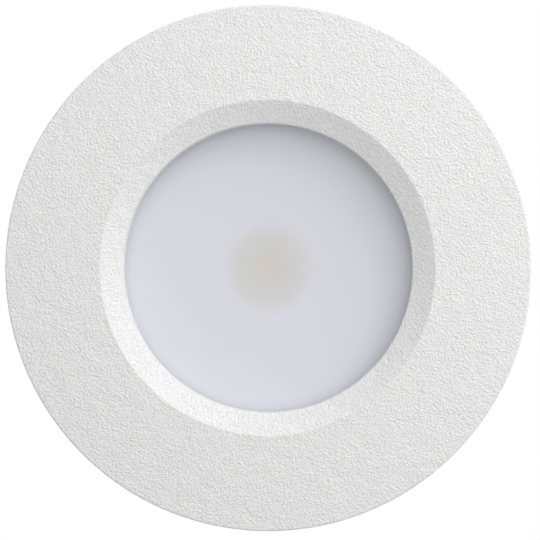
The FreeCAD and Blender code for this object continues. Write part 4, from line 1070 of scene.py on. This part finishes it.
@dataclass(frozen=True)
class Phosphor:
    """The LED's phosphor: yellow silicone over rows of chips that show faintly."""

    glow: Colour = (0.83, 0.60, 0.12)
    chip: Colour = (0.76, 0.50, 0.09)

    def recipe(self) -> Recipe:
        """Writes the phosphor's material, a yellow that deepens over each chip."""
        r = Recipe("yellow_phosphor")
        cells = r.cells(1.1, 0.1)
        r.set(Base_Color=r.ramp(cells, [(0.15, self.chip), (0.45, self.glow)]), Roughness=0.42)
        r.bumped(r.noise(0.3, 2.0), 0.012)
        return r


@dataclass
class Inside:
    """The seals, the leads and the dressed nodes that the body and the lens close in."""

    hole_y: float = -18.05
    wire: float = 0.7
    bend: float = 2.8

    def seal(self, name: str, node: str, across: tuple[float, float],
             up: tuple[float, float], edges: tuple[float, float]) -> bpy.types.Object:
        """Builds a silicone ring with its lower and its upper edges rounded."""
        (inner, outer), (low, high), (under, over) = across, up, edges
        corners = [(inner, low, under), (outer, low, under), (outer, high, over),
                   (inner, high, over)]
        return soft_ring(name, node, SILICONE, corners, 144)

    def seals(self) -> list[bpy.types.Object]:
        """Builds the seals of the lens, the flange and the lid."""
        return [
            self.seal("lens_seal", "lens_gasket", (23.22, 24.98), (-1.0, -0.22), (0.2, 0.25)),
            self.seal("flange_seal", "housing_seal", (26.32, 27.58), (5.02, 5.98), (0.3, 0.4)),
            self.seal("lid_seal", "rear_cover_seal", (23.37, 24.63), (38.02, 38.98), (0.3, 0.4)),
        ]

    def thermal_pad(self) -> bpy.types.Object:
        """Builds the soft pad behind the LED board."""
        grid = slab(rounded([(-8, -8), (8, -8), (8, 8), (-8, 8)], 0.6), 15.5, 16.0, 0.12)
        piece = build("heat_pad", [Sheet(grid * MM, caps=True)])
        return fitted(piece, THERMAL_PAD, "thermal_pad")

    def lead(self, name: str, node: str, finish: Finish, x: float) -> bpy.types.Object:
        """Builds a lead: down through the web, then round on one bend to the LED.

        Its section is a circle of the radius wire across the path's tangent.

        Args:
            name: The piece's name.
            node: The node that it stands for.
            finish: Its insulation.
            x: How far it stands off the middle.

        Returns:
            The lead.
        """
        y, low, bend = self.hole_y, 15.4, self.bend
        a = np.radians(np.linspace(0, 90, 16))[1:-1]
        down = np.stack([y + 0 * np.linspace(0, 1, 12), np.linspace(24.0, low, 12)], axis=1)
        turn = np.stack([y + bend * (1 - np.cos(a)), low - bend * np.sin(a)], axis=1)
        level = np.stack([np.linspace(y + bend, -11.3, 8), low - bend + 0 * np.arange(8)], axis=1)
        path = np.concatenate([down, turn, level])
        way = np.gradient(path, axis=0)
        way /= np.linalg.norm(way, axis=1)[:, None]
        t = np.linspace(0, FULL_TURN, 20, endpoint=False)[None]
        across = self.wire * np.sin(t)
        grid = np.stack([x + self.wire * np.cos(t) + 0 * path[:, :1],
                         path[:, :1] - across * way[:, 1:], path[:, 1:] + across * way[:, :1]],
                        axis=-1)
        return fitted(build(name, [Sheet(grid * MM, caps=True)]), finish, node)

    def grommet(self) -> bpy.types.Object:
        """Builds the rubber plug that the leads pass through, its lips rounded."""
        profile = rounded([(0, 15.4, 0), (3.8, 15.4, 0.25), (3.8, 15.99, 0.1), (3.0, 16.0, 0.05),
                           (3.0, 20.0, 0.05), (3.8, 20.01, 0.1), (3.8, 20.6, 0.25),
                           (0, 20.6, 0)])
        piece = build("lead_plug", [revolve(profile, 56, 0.0, self.hole_y, closed=False)])
        return fitted(piece, BLACK_RUBBER, "lead_grommet")

    def dress_nodes(self) -> None:
        """Gives every node that is kept its own finish."""
        finishes = {
            REFLECTOR_WHITE: ["reflector"], HOLDER_PLASTIC: ["led_holder"],
            ZINC_STEEL: ["holder_screws", "board_screws", "terminal_screws"],
            LED_BOARD: ["cob_substrate"], FERRITE: ["driver_inductor"],
            SLEEVE: ["driver_capacitors"], CHIP_PLASTIC: ["driver_chips"],
            TERMINAL_PLASTIC: ["terminal_block"], GLAND_NYLON: ["gland_locknut"],
            Circuit(): ["driver_board"], Phosphor(): ["cob_phosphor"],
        }
        for finish, nodes in finishes.items():
            recipe = finish.recipe()
            for node in nodes:
                recipe.dress(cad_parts[node])
                LOG.info("%s: %s", node, recipe.material.name)

    def make(self) -> list[bpy.types.Object]:
        """Builds the soft inner pieces and dresses the nodes that are kept."""
        self.dress_nodes()
        return [*self.seals(), self.thermal_pad(), self.grommet(),
                self.lead("red_lead", "led_lead_positive", LEAD_RED, 1.2),
                self.lead("black_lead", "led_lead_negative", LEAD_BLACK, -1.2)]


# The spring clips


@dataclass
class Clip:
    """One spring clip: bracket, pin, arm, rubber pad and torsion spring, in millimetres.

    It is worked out for the +X side, and turn carries it round the axis in degrees.
    """

    side: str
    turn: float
    hinge_x: float = 29.4
    hinge_z: float = 27.6
    rest: float = 72.0
    near: float = 2.4
    length: float = 18.0
    foot_bend: float = 52.0
    foot_radius: float = 1.9
    foot_rise: float = 1.0
    wire: float = 0.4
    coil: float = 1.9
    twist: float = 1458.0
    easing: float = 50.0
    coil_length: float = 5.4675
    plate_leg: float = 4.55
    arm_leg: float = 10.45

    def fixed(self, grid: np.ndarray) -> np.ndarray:
        """Carries points of the bracket to their side, in metres."""
        return spun(grid, self.turn) * MM

    def swung(self, grid: np.ndarray) -> np.ndarray:
        """Carries points from the arm's own frame to where it rests.

        The arm's frame has the pin at its origin and the arm along +X. The point (x, y, z)
        goes to (hx + x cos a + z sin a, y, hz - x sin a + z cos a).

        Args:
            grid: The points.

        Returns:
            The points at rest, in metres.
        """
        c, s = math.cos(math.radians(self.rest)), math.sin(math.radians(self.rest))
        turned = grid @ np.array([[c, 0, -s], [0, 1.0, 0], [s, 0, c]])
        return self.fixed(turned + np.array([self.hinge_x, 0, self.hinge_z]))

    def pressed(self, part: str, body: str) -> bpy.types.Object:
        """Builds a pressed steel part from its node, with its edges eased."""
        node = f"{self.side}_clip_{part}"
        return fitted(eased(node, f"{self.side}_{part}"), STAINLESS, node, body)

    def pin(self) -> bpy.types.Object:
        """Builds the riveted pin, whose two heads are domed."""
        shank, head, end, under = 0.99, 1.7, 6.48, 5.69
        profile = rounded([(0, -end, 0), (head, -end, 0.5), (head, -under, 0.08),
                           (shank, -under, 0.05), (shank, under, 0.05), (head, under, 0.08),
                           (head, end, 0.5), (0, end, 0)])
        grid = lathe(profile, 40)[..., [0, 2, 1]] + np.array([self.hinge_x, 0, self.hinge_z])
        piece = build(f"{self.side}_rivet", [Sheet(self.fixed(grid), True, False)])
        return fitted(piece, STAINLESS, f"{self.side}_clip_pin")

    def foot_point(self, along: float, out: float) -> tuple[float, float]:
        """Gives a point of the foot, so far along it and so far out of its lower face."""
        a, reach = math.radians(self.foot_bend), self.foot_radius + out
        x = self.length + reach * math.sin(a) + along * math.cos(a)
        return x, self.foot_rise - self.near - reach * math.cos(a) + along * math.sin(a)

    def pad(self) -> bpy.types.Object:
        """Builds the rubber cap on the foot, with four grip grooves on its lower face."""
        low, high, out, half_width = 0.8, 6.35, 0.95, 4.35
        back, floor = -0.9 - out, out - 0.26
        corners = [(low, back, 0.4), (low, out, 0.4)]
        for along in (1.9, 3.0, 4.1, 5.2):
            corners += [(along - 0.26, out, 0.08), (along - 0.14, floor, 0.08)]
            corners += [(along + 0.14, floor, 0.08), (along + 0.26, out, 0.08)]
        corners += [(high, out, 0.6), (high, back, 0.6)]
        outline = rounded([(*self.foot_point(u, w), r) for u, w, r in corners])
        grid = slab(outline, -half_width, half_width, 0.35)[..., [0, 2, 1]]
        piece = build(f"{self.side}_rubber_cap", [Sheet(self.swung(grid), caps=True)], 60.0)
        return fitted(piece, PAD_RUBBER, f"{self.side}_clip_pad",
                      f"{self.side}_clip")

    def wire_path(self) -> np.ndarray:
        """Works out the middle line of the spring's wire.

        The fixed leg comes down the plate, the coil turns through twist degrees at the
        radius coil about the pin, and the moving leg leaves along the arm. The coil's
        climb along the pin starts and ends level: its speed rises over the first easing
        degrees, falls over the last, and adds up to the coil's length.

        Returns:
            The points, one a row.
        """
        turned = np.linspace(0, self.twist, 420)
        speed = np.clip(np.minimum(turned, self.twist - turned) / self.easing, 0, 1)
        climb = np.concatenate([[0], np.cumsum((speed[1:] + speed[:-1]) / 2)])
        y = (climb / climb[-1] - 0.5) * self.coil_length
        a = np.radians(180.0 + turned)
        coil = np.stack([self.hinge_x + self.coil * np.cos(a), y,
                         self.hinge_z + self.coil * np.sin(a)], axis=1)
        first = np.array([-math.sin(a[0]), 0, math.cos(a[0])])
        last = np.array([-math.sin(a[-1]), 0, math.cos(a[-1])])
        leg = coil[0] - np.linspace(self.plate_leg, 0.2, 14)[:, None] * first
        tail = coil[-1] + np.linspace(0.2, self.arm_leg, 26)[:, None] * last
        return np.concatenate([leg, coil, tail])

    def spring(self) -> bpy.types.Object:
        """Builds the torsion spring at rest, one round wire; the piece keeps this shape and does
        not wind up as its arm is raised.

        The wire's section at each point is a circle across the unit tangent t, drawn on
        n = Y - (Y.t) t and t x n. Its two ends are rounded off.

        Returns:
            The spring.
        """
        path = self.wire_path()
        tangent = np.gradient(path, axis=0)
        tangent /= np.linalg.norm(tangent, axis=1)[:, None]
        n = np.array([0, 1.0, 0]) - tangent[:, 1:2] * tangent
        n /= np.linalg.norm(n, axis=1)[:, None]
        b = np.cross(tangent, n)
        radius = np.full(len(path), self.wire)
        radius[[0, -1]], radius[[1, -2]] = 0.0, self.wire * 0.82
        path[1], path[-2] = path[0] + tangent[0] * 0.06, path[-1] - tangent[-1] * 0.06
        t = np.linspace(0, FULL_TURN, 14, endpoint=False)[None, :, None]
        ring = np.cos(t) * n[:, None] + np.sin(t) * b[:, None]
        grid = path[:, None] + ring * radius[:, None, None]
        piece = build(f"{self.side}_torsion_spring", [Sheet(self.fixed(grid))])
        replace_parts(SPRING_STEEL.recipe().dress(piece), f"{self.side}_clip_spring")
        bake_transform(piece)
        return piece

    def make(self) -> list[bpy.types.Object]:
        """Builds the clip."""
        return [self.pressed("bracket", FIXED), self.pin(),
                self.pressed("arm", f"{self.side}_clip"), self.pad(), self.spring()]


@dataclass
class Fixings:
    """Every screw that shows from outside."""

    def make(self) -> list[bpy.types.Object]:
        """Builds the screws of the flange, of the lid and of the two brackets."""
        m3 = Screw(1.5, 2.8, 1.9, 8.0)
        m25 = Screw(1.25, 2.3, 1.2, 3.4, 0.5)
        return [
            screws("flange_screws", "housing_screws", m3,
                   FLANGE_BOLTS.places(Body.flange_top)),
            screws("lid_screws", "rear_cover_screws", m3,
                   LID_BOLTS.places(Cover.high)),
            screws("right_plate_screws", "right_bracket_screws", m25,
                   [(27.0, 0.0, 18.0), (27.0, 0.0, 34.6)], "right"),
            screws("left_plate_screws", "left_bracket_screws", m25,
                   [(-27.0, 0.0, 18.0), (-27.0, 0.0, 34.6)], "left"),
        ]


# The studio


@dataclass
class Studio:
    """The camera below the light, the plain surroundings and the lamps, in metres."""

    distance: float = 0.6
    sensor: float = 36.0
    tilt: float = 2.0
    frame_width: float = 0.08445
    target: Vector = Vector((0.000286, 0.000316, -0.0018))
    floor_z: float = -1.5
    floor_half: float = 5.0

    def camera(self) -> bpy.types.Object:
        """Sets the camera below the light, looking up, with +X to the right.

        The lens is sensor width times distance over the frame's width at the trim.

        Returns:
            The camera.
        """
        data = bpy.data.cameras.new("camera")
        data.sensor_width = self.sensor
        data.lens = self.sensor * self.distance / self.frame_width
        data.clip_start = 0.01
        eye = bpy.data.objects.new("camera", data)
        turn = math.radians(self.tilt)
        way = Vector((math.sin(turn), 0.0, -math.cos(turn)))
        eye.location = self.target + way * self.distance
        aim = (self.target - eye.location).normalized()
        right = aim.cross(Vector((0, -1, 0))).normalized()
        up = right.cross(aim)
        rows = [(right[k], up[k], -aim[k]) for k in range(3)]
        eye.rotation_euler = Matrix(rows).to_euler()
        bpy.context.scene.collection.objects.link(eye)
        bpy.context.scene.camera = eye
        return eye

    def surroundings(self, low: float = 0.3, high: float = 0.84) -> None:
        """Makes the world: white where it is seen, and a soft light from low to high up."""
        world = bpy.data.worlds.new("surroundings")
        bpy.context.scene.world = world
        tree = Tree(world)
        tree.nodes.clear()
        place = tree.add("TexCoord").outputs["Generated"]
        height = tree.add("SeparateXYZ", place).outputs[2]
        soft = tree.add("Background", Strength=tree.ranged(height, -0.4, 0.5, low, high))
        white = tree.add("Background", (1.0, 1.0, 1.0))
        mix = tree.add("MixShader", tree.seen(), soft.outputs[0], white.outputs[0])
        tree.add("OutputWorld", mix.outputs[0])

    def floor(self, tone: float = 0.82) -> bpy.types.Object:
        """Lays the pale floor under everything, white where it is seen."""
        ends = (-self.floor_half, self.floor_half)
        grid = np.array([[[x, y, self.floor_z] for y in ends] for x in ends])
        piece = build("floor", [Sheet(grid, wrap_columns=False)])
        material = bpy.data.materials.new("floor_paper")
        tree = Tree(material)
        tree.nodes.clear()
        paper = tree.add("BsdfDiffuse", (tone, tone, tone))
        glow = tree.add("Emission", Strength=tree.maths("MULTIPLY", tree.seen(), 0.6))
        total = tree.add("AddShader", paper.outputs[0], glow.outputs[0])
        tree.add("OutputMaterial", total.outputs[0])
        piece.data.materials.append(material)
        return piece

    def lamp(self, name: str, place: tuple[float, float, float], size: float,
             power: float) -> bpy.types.Object:
        """Hangs a square soft lamp that points at the light.

        Args:
            name: The lamp's name.
            place: Where it hangs.
            size: The length of its sides.
            power: Its power in watts.

        Returns:
            The lamp.
        """
        data = bpy.data.lights.new(name, "AREA")
        data.shape, data.size, data.energy = "SQUARE", size, power
        piece = bpy.data.objects.new(name, data)
        piece.location = place
        piece.rotation_euler = (-Vector(place)).to_track_quat("-Z", "Y").to_euler()
        piece.visible_camera = False
        bpy.context.scene.collection.objects.link(piece)
        return piece

    def make(self) -> None:
        """Sets up the camera, the surroundings, the floor and the lamps."""
        bpy.context.scene.view_settings.view_transform = "Standard"
        self.camera()
        self.surroundings()
        self.floor()
        self.lamp("key", (0.825, -0.825, -0.443), 0.5, 3.2)
        self.lamp("broad", (0.737, -0.737, -0.689), 2.0, 14.4)
        self.lamp("upper_fill", (0.9, -0.5, 0.9), 0.8, 3.0)


def main() -> None:
    """Builds the light piece by piece and reports each one."""
    logging.basicConfig(level=logging.INFO, format="%(name)s: %(message)s")
    Studio().make()
    clips = (Clip("right", 0.0), Clip("left", 180.0))
    for part in (Trim(), Front(), Body(), Cover(), Gland(), *clips, Fixings(), Inside()):
        for piece in part.make():
            LOG.info("%s: %d faces", piece.name, len(piece.data.polygons))


if __name__ == "__main__":
    main()
